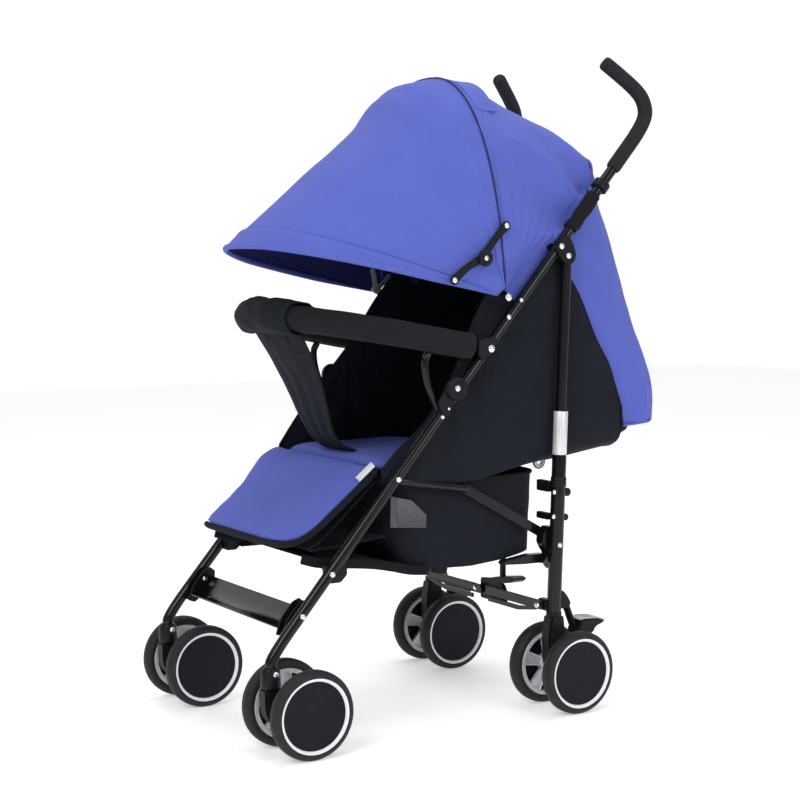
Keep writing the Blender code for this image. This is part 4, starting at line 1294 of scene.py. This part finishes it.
def curtain():
    """Drape from the back of the hood down round the head end of the seat."""
    levels = ((0.024, 0.803, 0.142, 0.862, 0.8), (0.006, 0.768, 0.164, 0.812, 0.7),
              (0.007, 0.730, 0.174, 0.765, 0.6), (0.041, 0.674, 0.184, 0.700, 0.5),
              (0.075, 0.606, 0.206, 0.632, 0.45), (0.103, 0.565, 0.219, 0.588, 0.42),
              (0.124, 0.538, 0.230, 0.548, 0.4), (0.138, 0.500, 0.2335, 0.510, 0.4),
              (0.143, 0.468, 0.232, 0.474, 0.4))
    width = 72
    knots = [[tuple(p) for p in hood_back(width, 0.66, 0.007)]]
    for edge_y, edge_z, back_y, back_z, square in levels:
        row = []
        for j in range(width + 1):
            place = -1 + 2 * j / width
            turn = math.pi / 2 * (1 - abs(place))
            x = 0.1685 * max(0.0, math.cos(turn)) ** square
            share = math.sin(turn) ** square
            row.append(tuple(at(math.copysign(x, place), edge_y + (back_y - edge_y) * share,
                                edge_z + (back_z - edge_z) * share)))
        knots.append(row)
    rows = [[Vector(p) for p in row] for row in spread(knots, 8)]

    def relief(u, v, point):
        side = abs(2 * v - 1)
        fold = 1 - 2 * abs(math.sin(v * 17 + 1.6 * ripple(point, 7, 1.0)))
        return (u * 0.0046 * fold * (0.4 + 0.6 * side) + 0.0044 * ripple(point, 8, 6.0)
                + 0.0012 * ripple(point, 22, 2.0))
    inside = tuple(at(0, 0.06, 0.70))
    data = cloth_mesh("curtain", rows, 0.0022, inside, relief)
    obj = piece("back_curtain", data, BLUE, "seat_unit", ("rear_curtain",), BLACK)
    hem = piping("curtain_hem", rows[-1], 0.0019, "seat_unit", BLUE)
    sides = [piping("curtain_edge_" + tag, [row[k] for row in rows], 0.0018,
                    "seat_unit", BLACK_TAPE)
             for tag, k in (("R", 0), ("L", width))]
    for soft in [obj, hem] + sides:
        fold_soft(soft)
    flat = (run_length(rows[-1]), run_length([row[width // 2] for row in rows]))
    cut_area(rows, flat)
    return obj


# ---- seat fabric --------------------------------------------------------------------------
SLING = ((-0.344, 0.412, 0.402, 0.434, 0.168), (-0.308, 0.412, 0.404, 0.486, 0.164),
         (-0.250, 0.412, 0.394, 0.557, 0.161), (-0.205, 0.412, 0.389, 0.610, 0.160),
         (-0.158, 0.412, 0.391, 0.680, 0.157), (-0.125, 0.412, 0.398, 0.716, 0.156),
         (-0.095, 0.412, 0.407, 0.720, 0.158), (-0.060, 0.412, 0.418, 0.710, 0.1735),
         (-0.008, 0.414, 0.436, 0.762, 0.1735), (0.022, 0.416, 0.446, 0.722, 0.1735),
         (0.045, 0.419, 0.451, 0.687, 0.1735), (0.078, 0.424, 0.453, 0.620, 0.1735),
         (0.105, 0.428, 0.455, 0.578, 0.1735), (0.120, 0.430, 0.457, 0.541, 0.1735),
         (0.136, 0.431, 0.459, 0.500, 0.1735))


def sling():
    """Black hammock: the floor under the seat pad and the two side wings."""
    stations = spread(SLING, 8)
    rows = []
    for y, floor, edge, top, lean in stations:
        tall = top - edge
        knots = [(0.0, floor), (0.070, floor), (0.130, floor), (0.160, (floor + edge) / 2 - 0.002),
                 (0.1715, edge + tall * 0.03), (0.1735, edge + tall * 0.16),
                 (0.1735, edge + tall * 0.4),
                 (lean + (0.1735 - lean) * 0.6, edge + tall * 0.72), (lean, top)]
        far = spread(knots, 5)
        drop = 1 - 0.055 * bell(y, -0.245, 0.085) / tall
        near = spread([(x, z if z < edge else edge + (z - edge) * drop) for x, z in knots], 5)
        right = [at(-x, y, z) for x, z in reversed(far[1:])]
        rows.append(right + [at(x, y, z) for x, z in near])
    width = len(rows[0]) - 1

    def relief(u, v, point):
        side = abs(2 * v - 1)
        if side < 0.42:
            return 0.0008 * ripple(point, 14, 1.0)
        wall = min(1, (side - 0.42) / 0.12) * min(1, (1 - side) / 0.10)
        fan = math.atan2(point[2] - 0.60, point[1] - SHIFT_Y + 0.215)
        lift = 0.0026 * (1 - 2 * abs(math.sin(fan * 7 + 1.4 * ripple(point, 5, 3.0))))
        lift += 0.0034 * ripple(point, 8, 8.0, (1, 1.5, 0.6)) - 0.0024
        return wall * min(0.0015, lift)
    inside = tuple(at(0, -0.10, 0.56))
    data = cloth_mesh("sling", rows, 0.0022, inside, relief)
    obj = piece("seat_hammock", data, BLACK, "seat_unit", ("seat_sling",))
    trims = []
    for tag, k in (("R", 0), ("L", width)):
        trims.append(piping("wing_edge_" + tag, [row[k] for row in rows], 0.0017, "seat_unit",
                            BLACK_TAPE))
    for tag, place in (("front", 0), ("back", -1)):
        trims.append(piping("hammock_hem_" + tag, rows[place], 0.0017, "seat_unit", BLACK_TAPE))
    for soft in [obj] + trims:
        fold_soft(soft)
    flat = (run_length(rows[len(rows) // 2]), run_length([row[width // 2] for row in rows]))
    cut_area(rows, flat)
    return obj


PAD_POINTS = 96


def pad_cage(name, start, end, half, thick, corner, round_far):
    """Closed pad between two side-view places: a rounded-corner outline with crowned faces."""
    run = Vector((0, end[0] - start[0], end[1] - start[1]))
    length = run.length
    ahead = run / length
    rise = Vector((1, 0, 0)).cross(ahead)
    outline = []
    for k in range(PAD_POINTS):
        turn = 2 * math.pi * k / PAD_POINTS
        c, s = math.cos(turn), math.sin(turn)
        power = 2 / (round_far if round_far and c > 0 and s > 0 else corner)
        x = half * math.copysign(abs(c) ** power, c)
        v = length / 2 * math.copysign(abs(s) ** power, s)
        outline.append((x, v + length / 2))
    bm = bmesh.new()
    layers = []
    for level in range(-5, 6):
        share = level / 5
        inset = 1 - 0.5 * thick / half * (1 - math.sqrt(max(0, 1 - share ** 2)))
        layer = []
        for x, v in outline:
            u = (v - length / 2) * (1 - 0.5 * thick / (length / 2)
                                    * (1 - math.sqrt(max(0, 1 - share ** 2)))) + length / 2
            base = at(0, *start) + Vector((x * inset, 0, 0))
            place = base + ahead * u + rise * (share * thick / 2)
            layer.append(bm.verts.new(place))
        layers.append(layer)
    for low, high in zip(layers, layers[1:]):
        for k in range(PAD_POINTS):
            j = (k + 1) % PAD_POINTS
            bm.faces.new((low[k], low[j], high[j], high[k]))
    bm.faces.new(list(reversed(layers[0])))
    bm.faces.new(layers[-1])
    return mesh_of(name, bm, 60), ahead, rise, length, outline


def inflate(obj, cap, voxel=0.0055, pressure=4.0, frames=20):
    """Remesh a pad, blow it up a little as cloth, and keep what results."""
    remesh = obj.modifiers.new("remesh", "REMESH")
    remesh.mode = "VOXEL"
    remesh.voxel_size = voxel
    apply_modifiers(obj)
    rest = np.array([v.co[:] for v in obj.data.vertices])
    cloth = obj.modifiers.new("cloth", "CLOTH")
    cloth.settings.use_pressure = True
    cloth.settings.uniform_pressure_force = pressure
    cloth.settings.effector_weights.gravity = 0
    cloth.settings.tension_stiffness = 25
    cloth.settings.compression_stiffness = 25
    cloth.settings.bending_stiffness = 0.6
    for frame_number in range(1, frames + 1):
        bpy.context.scene.frame_set(frame_number)
    graph = bpy.context.evaluated_depsgraph_get()
    moved = bpy.data.meshes.new_from_object(obj.evaluated_get(graph))
    places = np.array([v.co[:] for v in moved.vertices])
    push = places - rest
    reach = np.linalg.norm(push, axis=1, keepdims=True)
    push = push * np.minimum(1.0, cap / np.maximum(reach, 1e-9))
    obj.modifiers.clear()
    obj.data.vertices.foreach_set("co", (rest + push).ravel())
    obj.data.update()
    bpy.context.scene.frame_set(1)
    shade(obj.data, 60)
    return obj


def subdivide(obj, levels=1):
    fine = obj.modifiers.new("fine", "SUBSURF")
    fine.levels = levels
    fine.render_levels = levels
    apply_modifiers(obj)
    shade(obj.data, 60)


def press(obj, ahead, rise, start, length, half, channels, depth=0.0022):
    """Sink sewn channels into a pad's faces: each channel is ('x' or 'v', place, width)."""
    origin = at(0, *start)
    for vert in obj.data.vertices:
        offset = vert.co - origin
        x, v, w = offset.x, offset.dot(ahead), offset.dot(rise)
        sink = 0.0
        for kind, place, width in channels:
            value = x if kind == "x" else v
            sink = max(sink, bell(value, place, width))
        fade = min(1, max(0, (half - abs(x)) / 0.012)) * min(1, max(0, v / 0.012)) \
            * min(1, max(0, (length - v) / 0.012))
        vert.co -= rise * math.copysign(depth * sink * fade, w)
        wave = 0.0011 * ripple(vert.co, 16, 3.0) + 0.0005 * ripple(vert.co, 45, 6.0)
        vert.co += rise * wave
    obj.data.update()


def pad(name, start, end, half, thick, corner, round_far, body, look, replaces, channels, cap=0.004,
        edge=None):
    data, ahead, rise, length, outline = pad_cage(name, start, end, half, thick, corner, round_far)
    obj = bpy.data.objects.new(name, data)
    bpy.context.scene.collection.objects.link(obj)
    inflate(obj, cap)
    subdivide(obj)
    press(obj, ahead, rise, start, length, half, channels)
    obj.data.materials.clear()
    obj.data.materials.append(look)
    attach(obj, body)
    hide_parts(*replaces)
    fold_soft(obj)
    extras = []
    if edge:
        trim = [outline[k % len(outline)] for k in range(-edge[2], edge[3])]
        path = [at(0, *start) + Vector((x * 1.004, 0, 0)) + ahead * v + rise * edge[4]
                for x, v in trim]
        bm = bmesh.new()

        def section(i, share):
            return circle(edge[1] * min(1, 0.3 + 12 * share, 0.3 + 12 * (1 - share)), 10)
        sweep(bm, path, section)
        rim = piece(name + "_piping", mesh_of(name, bm), edge[0], body)
        fold_soft(rim)
        extras.append(rim)
    return obj, extras


def raise_far_corner(obj, start, end):
    """The leg rest's surface stands higher at its far upper corner than along the near edge."""
    origin = at(0, *start)
    run = Vector((0, end[0] - start[0], end[1] - start[1])).normalized()
    rise = Vector((1, 0, 0)).cross(run)
    for vert in obj.data.vertices:
        offset = vert.co - origin
        far = min(1.0, max(0.0, 0.5 - offset.x / 0.32))
        vert.co -= rise * (0.013 * bell(offset.dot(run), 0.040, 0.040) * far)
    obj.data.update()


def pads():
    pad("seat_cushion", (-0.3500, 0.4270), (-0.104, 0.4290), 0.155, 0.014, 9, 0.0,
        "seat_unit", BLUE,
        ("seat_pad",), (("v", 0.12, 0.004),), 0.004)
    pad("back_cushion", (-0.092, 0.4420), (0.214, 0.4615), 0.145, 0.016, 5, 0.0, "backrest", BLACK,
        ("backrest",), (("x", 0.070, 0.004), ("x", -0.070, 0.004), ("v", 0.10, 0.004),
                        ("v", 0.20, 0.004)),
        0.004)
    rest, trims = pad("calf_pad", (-0.3465, 0.4270), (-0.4965, 0.3085), 0.162, 0.011, 16, 4.2,
                      "leg_rest", BLUE,
        ("leg_rest",), (), 0.004, (BLACK_TAPE, 0.0052, 15, 38, 0.0026))
    for soft in [rest] + trims:
        raise_far_corner(soft, (-0.3465, 0.4270), (-0.4965, 0.3085))


def calf_label():
    """Small blank white label sewn flat along the near edge of the leg rest."""
    start, end = Vector((-0.3465, 0.4270)), Vector((-0.4965, 0.3085))
    ahead = (end - start).normalized()
    rows = []
    for i in range(7):
        row = []
        for j in range(9):
            place = start + ahead * (0.010 + 0.036 * j / 8)
            row.append(at(0.1525 + 0.0130 * i / 6, place.x,
                          place.y + 0.0132 - 0.0050 * (i / 6) ** 2))
        rows.append(row)
    inside = tuple(at(0.16, -0.36, 0.30))
    obj = piece("care_label", cloth_mesh("label", rows, 0.0006, inside), LABEL, "leg_rest")
    fold_soft(obj)


def apron():
    """Black cloth from the front of the seat, under the leg rest, back to the basket."""
    hangs = spread(((-0.338, 0.4085), (-0.372, 0.3790), (-0.405, 0.3500), (-0.440, 0.3200),
                    (-0.466, 0.3040), (-0.440, 0.3040), (-0.405, 0.3060), (-0.365, 0.3100),
                    (-0.326, 0.3140)), 5)
    low = spread(((-0.478, 0.2960), (-0.452, 0.2880), (-0.420, 0.2830), (-0.383, 0.2800),
                  (-0.345, 0.2750), (-0.312, 0.2680), (-0.280, 0.2600), (-0.245, 0.2560)), 6)
    for name, profile, half, sag in (("seat_apron", hangs, 0.150, 0.004),
                                     ("apron_strip", low, 0.151, 0.0)):
        rows = [[at(-half + 2 * half * j / 40, y, z) for j in range(41)] for y, z in profile]

        def relief(u, v, point):
            side = abs(2 * v - 1)
            dip = sag * (1 - side ** 2) * bell(u, 0.75, 0.25)
            return dip + 0.0022 * ripple(point, 12, 5.0) * math.sin(math.pi * min(1, max(0, u)))
        inside = tuple(at(0, -0.380, 0.340))
        data = cloth_mesh(name, rows, 0.0020, inside, relief)
        obj = piece(name, data, BLACK, "seat_unit")
        edges = []
        for tag, k in (("R", 0), ("L", 40)):
            line = [row[k] for row in rows]
            if sag:
                edges.append(piping(name + "_edge_" + tag, line, 0.0018, "seat_unit", BLACK_TAPE))
                continue
            bm = bmesh.new()
            sweep(bm, [p - Vector((0, 0, 0.0045)) for p in line],
                  lambda i, share: [(a * 0.3, b) for a, b in circle(0.0080, 16)])
            edges.append(piece(name + "_edge_" + tag, mesh_of("edge", bm), BLACK_TAPE, "seat_unit"))
        for soft in [obj] + edges:
            fold_soft(soft)
        run_length([row[20] for row in rows])


# ---- basket -------------------------------------------------------------------------------
BASKET_HALF = 0.1495
BASKET_FRONT = -0.3165
BASKET_BACK = -0.0135
BASKET_TOP = 0.3975
BASKET_LOW = 0.266


def basket_ring(level, count):
    """One level of the basket, from 0 at the hem to 1 at the bottom's edge."""
    points = []
    for k in range(count):
        turn = 2 * math.pi * k / count
        c, s = math.cos(turn), math.sin(turn)
        x = math.copysign(abs(c) ** 0.30, c)
        v = math.copysign(abs(s) ** 0.30, s)
        front = (1 - v) / 2
        half = BASKET_HALF - 0.004 * level ** 2
        y_front = BASKET_FRONT + 0.018 * level ** 1.6
        y_back = BASKET_BACK - 0.004 * level
        y = y_back + (y_front - y_back) * front
        top_z = BASKET_TOP - 0.003 * math.sin(math.pi * front)
        bottom = BASKET_LOW - 0.0165 * math.sin(math.pi * front ** 1.15)
        z = top_z + (bottom - top_z) * level
        points.append((half * x, y, z))
    return points


def basket():
    """Sagging fabric tray: a lofted bag with a hem and net windows in its sides."""
    count, levels = 160, 14
    bm = bmesh.new()
    middle = Vector(at(0, -0.18, 0.32))
    rings = []
    for level in range(levels + 1):
        share = level / levels
        ring = []
        for x, y, z in basket_ring(share, count):
            point = at(x, y, z)
            out = Vector((point.x - middle.x, point.y - middle.y, 0)).normalized()
            wave = 0.0032 * ripple(point, 11, 4.0) + 0.0012 * ripple(point, 30, 2.0)
            bulge = 0.0010 * math.sin(math.pi * share)
            lift = bulge + wave * math.sin(math.pi * share) - 0.0015
            ring.append(bm.verts.new(point + out * lift))
        rings.append(ring)
    bottom = rings[-1]
    for step in range(1, 7):
        shrink = 1 - step / 7
        ring = []
        for vert in bottom:
            point = middle.lerp(vert.co, shrink)
            point.z = vert.co.z * shrink + 0.2530 * (1 - shrink) - 0.003 * (1 - shrink ** 2)
            point.z += 0.0016 * ripple(point, 14, 9.0)
            ring.append(bm.verts.new(point))
        rings.append(ring)
    for high, low in zip(rings, rings[1:]):
        for k in range(count):
            j = (k + 1) % count
            bm.faces.new((high[k], high[j], low[j], low[k]))
    bm.faces.new(rings[-1])
    data = mesh_of("bag", bm, 60)
    obj = piece("basket_bag", data, BLACK, "seat_unit", ("basket",))
    shell = obj.modifiers.new("shell", "SOLIDIFY")
    shell.thickness = 0.0020
    shell.offset = 0
    apply_modifiers(obj)
    shade(obj.data, 60)
    hem_path = [at(*p) + Vector((0, 0, -0.0005)) for p in basket_ring(0.0, count)]
    bm = bmesh.new()
    sweep(bm, hem_path + hem_path[:1], lambda i, share: circle(0.0028, 10),
          cap=False, up=Vector((0, 0, 1)))
    hem = piece("basket_hem", mesh_of("hem", bm), BLACK_TAPE, "seat_unit")
    nets = [net_window(side, sx) for side, sx in SIDES]
    for soft in [obj, hem] + nets:
        fold_soft(soft)


def net_window(side, sx):
    """Grey net let into the front lower part of each side of the basket."""
    rows = []
    for i in range(11):
        row = []
        for j in range(15):
            share = j / 14
            y = -0.3120 + 0.0640 * share
            top = 0.376 - 0.008 * min(1, share / 0.55) - 0.058 * max(0, share - 0.55)
            low = 0.326 - 0.005 * share
            z = top + (low - top) * i / 10
            level = min(1.0, max(0.0, (0.3965 - z) / 0.138))
            x = 0.1500 - 0.004 * level ** 2
            corner = max(0.0, 1 - share / 0.12)
            row.append(at(sx * (x + 0.0006 - 0.006 * corner ** 2), y, z))
        rows.append(row)
    inside = tuple(at(0, -0.28, 0.34))
    return piece("net_window_" + side, cloth_mesh("net", rows, 0.0012, inside), NET, "seat_unit")





# ---- bumper bar ---------------------------------------------------------------------------
BAR_PATH = ((0.186, -0.187, 0.615), (0.184, -0.220, 0.620), (0.178, -0.268, 0.629),
            (0.170, -0.310, 0.637), (0.150, -0.362, 0.646), (0.122, -0.408, 0.654),
            (0.095, -0.432, 0.658), (0.065, -0.450, 0.661), (0.036, -0.459, 0.6635),
            (0.009, -0.462, 0.664))
WRAP_R = 0.0262
STRAP_TOP_HALF = 0.0805


def bumper(side, sx):
    path = smooth_path([at(sx * x, y, z) for x, y, z in BAR_PATH], 6)
    body = "bumper_arm_" + side
    bm = bmesh.new()
    soft = soft_ends(path, 0.004)

    def section(i, share):
        radius = 0.0208 + 0.0003 * math.sin(share * 40)
        if i in (0, len(soft) - 1):
            radius *= 0.86
        return circle(radius, 32)
    sweep(bm, soft, section, up=Vector((0, 0, 1)))
    obj = piece("bar_foam_" + side, mesh_of("foam", bm, 50), BAR_FOAM, body,
                (body,))
    seam = [p + Vector((0, 0, -0.0210)) for p in path[2:-2]]
    piece("bar_seam_" + side, tube_mesh("seam", seam, 0.0011, 8), BLACK_TAPE, body)
    cuff = [path[0] + (path[1] - path[0]).normalized() * k for k in (-0.0065, -0.0045, 0.0005)]
    piece("bar_cuff_" + side, tube_mesh("cuff", cuff, 0.0092, 24), PLASTIC, body)


def bar_centre(x):
    """The bar's centre line, as (y, z), at a distance x from the middle."""
    line = [Vector(place) for place in reversed(BAR_PATH)]
    if x <= line[0].x:
        return line[0].y, line[0].z
    for near, far in zip(line, line[1:]):
        if x <= far.x:
            place = near.lerp(far, (x - near.x) / (far.x - near.x))
            return place.y, place.z


def wrap_rows(half, count):
    """Loose cloth wrapped once round the middle of the bar, wider where the bar bends."""
    rows = []
    for i in range(41):
        share = -1 + 2 * i / 40
        y0, z0 = bar_centre(half * abs(share))
        stretch = 1 + 0.22 * abs(share) ** 1.5
        row = []
        for k in range(count):
            turn = 2 * math.pi * k / count
            c, d = math.cos(turn), math.sin(turn)
            puff = 0.0032 * ripple((half * share, c * 0.05, d * 0.05), 26, 3.0)
            puff += 0.0012 * ripple((half * share, c * 0.05, d * 0.05), 70, 8.0)
            radius = WRAP_R + puff - 0.0010 * abs(share) ** 8
            row.append(at(half * share, y0 + radius * stretch * c, z0 + radius * d))
        rows.append(row)
    return rows


def strap_rows():
    """The crotch strap's wide fall from the wrap to its foot on the seat."""
    profile = spread(((-0.4415, 0.6440, STRAP_TOP_HALF), (-0.4330, 0.6280, 0.0770),
                      (-0.4210, 0.6080, 0.0740), (-0.4060, 0.5820, 0.0700),
                      (-0.3920, 0.5520, 0.0640), (-0.3790, 0.5200, 0.0570),
                      (-0.3690, 0.4930, 0.0500), (-0.3560, 0.4660, 0.0440),
                      (-0.3360, 0.4460, 0.0400), (-0.3120, 0.4390, 0.0370)), 7)
    return [[at(-wide + 2 * wide * j / 32,
                y - 0.006 * (1 - (2 * j / 32 - 1) ** 2) * (wide / 0.08) ** 2, z)
             for j in range(33)] for y, z, wide in profile]


def sleeve():
    """Fabric wrapped round the middle of the bar, with the wide crotch strap sewn to it."""
    half, count = 0.0825, 48
    rows = wrap_rows(half, count)
    bm = bmesh.new()
    grid = [[bm.verts.new(p) for p in row] for row in rows]
    for a, b in zip(grid, grid[1:]):
        for k in range(count):
            j = (k + 1) % count
            bm.faces.new((a[k], a[j], b[j], b[k]))
    obj = piece("bar_sleeve", mesh_of("sleeve", bm, 60), BLACK, "seat_unit",
                ("crotch_strap",))
    shell = obj.modifiers.new("shell", "SOLIDIFY")
    shell.thickness = 0.0018
    shell.offset = 1
    apply_modifiers(obj)
    shade(obj.data, 60)
    fall = strap_rows()

    def relief(u, v, point):
        side = abs(2 * v - 1)
        dart = bell(side, 0.42, 0.03) * bell(u, 0.12, 0.08) * 0.0022
        fold = 0.0022 * math.sin(v * 21 + 2 * ripple(point, 9, 4.0)) * u * (1 - side ** 4)
        return 0.0028 * ripple(point, 16, 2.0) - dart + fold
    inside = tuple(at(0, -0.30, 0.62))
    strap = piece("crotch_webbing", cloth_mesh("strap", fall, 0.0024, inside, relief), BLACK,
                  "seat_unit")
    edges = [piping("strap_edge_" + tag, [row[k] for row in fall], 0.0016, "seat_unit",
                    BLACK_TAPE) for tag, k in (("R", 0), ("L", 32))]
    seam = [p + Vector((0, -0.0018, 0)) for p in fall[15][2:-2]]
    edges.append(piping("strap_seam", seam, 0.0009, "seat_unit", BLACK_TAPE))
    for tag, sx in SIDES:
        dart = [fall[i][16 + sx * 7] + Vector((0, -0.0014, 0)) for i in range(2, 14)]
        edges.append(piping("strap_dart_" + tag, dart, 0.0007, "seat_unit", BLACK_TAPE))
    rims = []
    for tag, k in (("R", 0), ("L", -1)):
        loop = rows[k]
        bm = bmesh.new()
        centre = sum(loop, Vector()) / len(loop)
        loop = [centre + (p - centre) * 1.03 for p in loop]
        sweep(bm, loop + loop[:1], lambda i, share: circle(0.0013, 8), cap=False)
        rims.append(piece("sleeve_rim_" + tag, mesh_of("rim", bm), BLACK_TAPE, "seat_unit"))
    for soft in [obj, strap] + edges + rims:
        fold_soft(soft)
    flat = (2 * STRAP_TOP_HALF, run_length([row[16] for row in fall]))
    cut_area(fall, flat)


def leg_sleeves(side, sx):
    """Dark tape that ties the hood's rear edge to the push tube."""
    path = smooth_path([at(sx * LEG_X, y, leg_z(y))
                        for y in (0.012, 0.024, 0.036, 0.048, 0.062)], 4)
    bm = bmesh.new()

    def section(i, share):
        ring = []
        for k in range(28):
            turn = 2 * math.pi * k / 28
            swell = noise.noise(Vector((i * 0.35, math.cos(turn) * 1.6, math.sin(turn) * 1.6)))
            radius = 0.0116 + 0.0030 * swell
            ring.append((radius * math.cos(turn), radius * math.sin(turn)))
        return ring
    sweep(bm, path, section)
    piece("tube_wrap_" + side, mesh_of("wrap", bm, 60), BLACK_TAPE, "side_" + side)


def hood_pivot(side, sx):
    """Rivets of the hood's pivot on the push tube."""
    face = LEG_X + TUBE_R
    heads = [(at(sx * (face + 0.0016), CANOPY_PIVOT[0] + 0.0024, CANOPY_PIVOT[1]), (sx, 0, 0),
              0.0062, 0.0034),
             (at(sx * (face - RIVET_SINK), -0.0926, 0.6871), (sx, 0, 0), 0.0036, 0.0022),
             (at(sx * (face - RIVET_SINK), -0.1174, 0.6599), (sx, 0, 0), 0.0044, 0.0026)]
    rivets("hood_pivot_rivets_" + side, heads, "side_" + side)


def pull_ring():
    """Pale ring with a black rim that hangs below the head end of the seat."""
    profile = [(0.0, 0.0050), (0.0, 0.0104), (0.0010, 0.0112), (0.0026, 0.0112), (0.0036, 0.0104),
               (0.0036, 0.0050)]
    centre = at(0.150, -0.0235, 0.4150)
    fold_soft(piece("pull_ring", turn_mesh("ring", profile, centre, 40), PALE, "seat_unit"))
    rim = [(0.0004, 0.0112), (0.0010, 0.0126), (0.0026, 0.0126), (0.0032, 0.0112)]
    fold_soft(piece("pull_ring_rim", turn_mesh("rim", rim, centre, 40), PLASTIC, "seat_unit"))


def inner_clip(side, sx):
    """Grey folding clip inside the hood that keeps its front bow open."""
    x = sx * 0.1790
    up = 0.024 if sx > 0 else 0.0
    low, high = sorted((x - sx * 0.0035, x))
    joint, ends = (-0.1420, 0.6980 + up), ((-0.1500, 0.7340 + up), (-0.1160, 0.7230 + up))
    arms = [plate_mesh("arm", bar_outline(end, joint, 0.0042), low, high, 0.0007) for end in ends]
    low, high = sorted((x - sx * 0.0050, x + sx * 0.0010))
    head = bar_outline((-0.1460, 0.7000 + up), (-0.1380, 0.6960 + up), 0.0062)
    arms.append(plate_mesh("head", head, low, high, 0.0009))
    fold_soft(piece("hood_clip_" + side, join_meshes("clip", arms), GREY, "seat_unit"))


# ---- build the soft parts -----------------------------------------------------------------
BAR_FOAM = weave("bar_foam_cloth", (0.0085, 0.0092, 0.0115), 0.0011, 0.03, 0.85, 1.2, 0.3)
GREY = white_plastic("clip_grey", (0.40, 0.41, 0.45))
footrest()
hood_front()
hood_rear()
curtain()
sling()
pads()
calf_label()
apron()
basket()
sleeve()
pull_ring()
for SIDE, SX in SIDES:
    bumper(SIDE, SX)
    leg_sleeves(SIDE, SX)
    inner_clip(SIDE, SX)
    hood_pivot(SIDE, SX)


# ---- floor, light and camera --------------------------------------------------------------
def floor():
    look = Nodes("studio_floor", (0.93, 0.93, 0.935), 0.6)
    look.shader.inputs["Emission Color"].default_value = (1, 1, 1, 1)
    look.shader.inputs["Emission Strength"].default_value = 0.36
    look.tint(look.noise(2), 0.99, 1.01)
    bm = bmesh.new()
    bmesh.ops.create_grid(bm, x_segments=4, y_segments=4, size=7)
    data = bpy.data.meshes.new("floor")
    bm.to_mesh(data)
    bm.free()
    data.materials.append(look.material)
    obj = bpy.data.objects.new("floor", data)
    bpy.context.scene.collection.objects.link(obj)


def area_light(name, place, target, size, power):
    data = bpy.data.lights.new(name, "AREA")
    data.shape = "DISK"
    data.size = size
    data.energy = power
    obj = bpy.data.objects.new(name, data)
    bpy.context.scene.collection.objects.link(obj)
    obj.location = place
    obj.rotation_euler = (Vector(target) - Vector(place)).to_track_quat("-Z", "Y").to_euler()


def studio_world(world):
    """White ahead of the camera, darker behind it, so that black parts stay black."""
    tree = world.node_tree
    back = tree.nodes["Background"]
    place = tree.nodes.new("ShaderNodeTexCoord")
    facing = tree.nodes.new("ShaderNodeVectorMath")
    facing.operation = "DOT_PRODUCT"
    turn = math.radians(57.8)
    facing.inputs[1].default_value = (-math.sin(turn), math.cos(turn), 0)
    ramp = tree.nodes.new("ShaderNodeMapRange")
    ramp.interpolation_type = "SMOOTHSTEP"
    ramp.inputs["From Min"].default_value = -0.2
    ramp.inputs["From Max"].default_value = 0.8
    ramp.inputs["To Min"].default_value = 0.34
    ramp.inputs["To Max"].default_value = 1.06
    tree.links.new(place.outputs["Generated"], facing.inputs[0])
    tree.links.new(facing.outputs["Value"], ramp.inputs["Value"])
    seen = tree.nodes.new("ShaderNodeLightPath").outputs["Is Camera Ray"]
    white = tree.nodes.new("ShaderNodeMath")
    white.operation = "MAXIMUM"
    tree.links.new(ramp.outputs["Result"], white.inputs[0])
    tree.links.new(seen, white.inputs[1])
    tree.links.new(white.outputs[0], back.inputs["Strength"])
    back.inputs["Color"].default_value = (0.99, 0.995, 1.0, 1)


def lights():
    world = bpy.context.scene.world or bpy.data.worlds.new("studio")
    bpy.context.scene.world = world
    bpy.context.scene.view_settings.view_transform = "Standard"
    world.use_nodes = True
    studio_world(world)
    area_light("key", (1.6, -2.6, 2.6), (0, 0, 0.5), 1.8, 52)
    area_light("side", (3.0, 0.6, 1.6), (0, 0, 0.5), 1.4, 26)
    area_light("top", (0, 0.2, 3.2), (0, 0, 0.6), 2.2, 30)


def camera():
    turn, tilt = math.radians(57.8225), math.radians(4.6844)
    data = bpy.data.cameras.new("camera")
    data.lens = 76.57
    data.sensor_width = 36
    data.clip_end = 60
    obj = bpy.data.objects.new("camera", data)
    bpy.context.scene.collection.objects.link(obj)
    obj.location = at(2.4319, -1.7337, 0.7511)
    back = Vector((math.sin(turn) * math.cos(tilt), -math.cos(turn) * math.cos(tilt),
                   math.sin(tilt)))
    obj.rotation_euler = (-back).to_track_quat("-Z", "Y").to_euler()
    bpy.context.scene.camera = obj


floor()
lights()
camera()
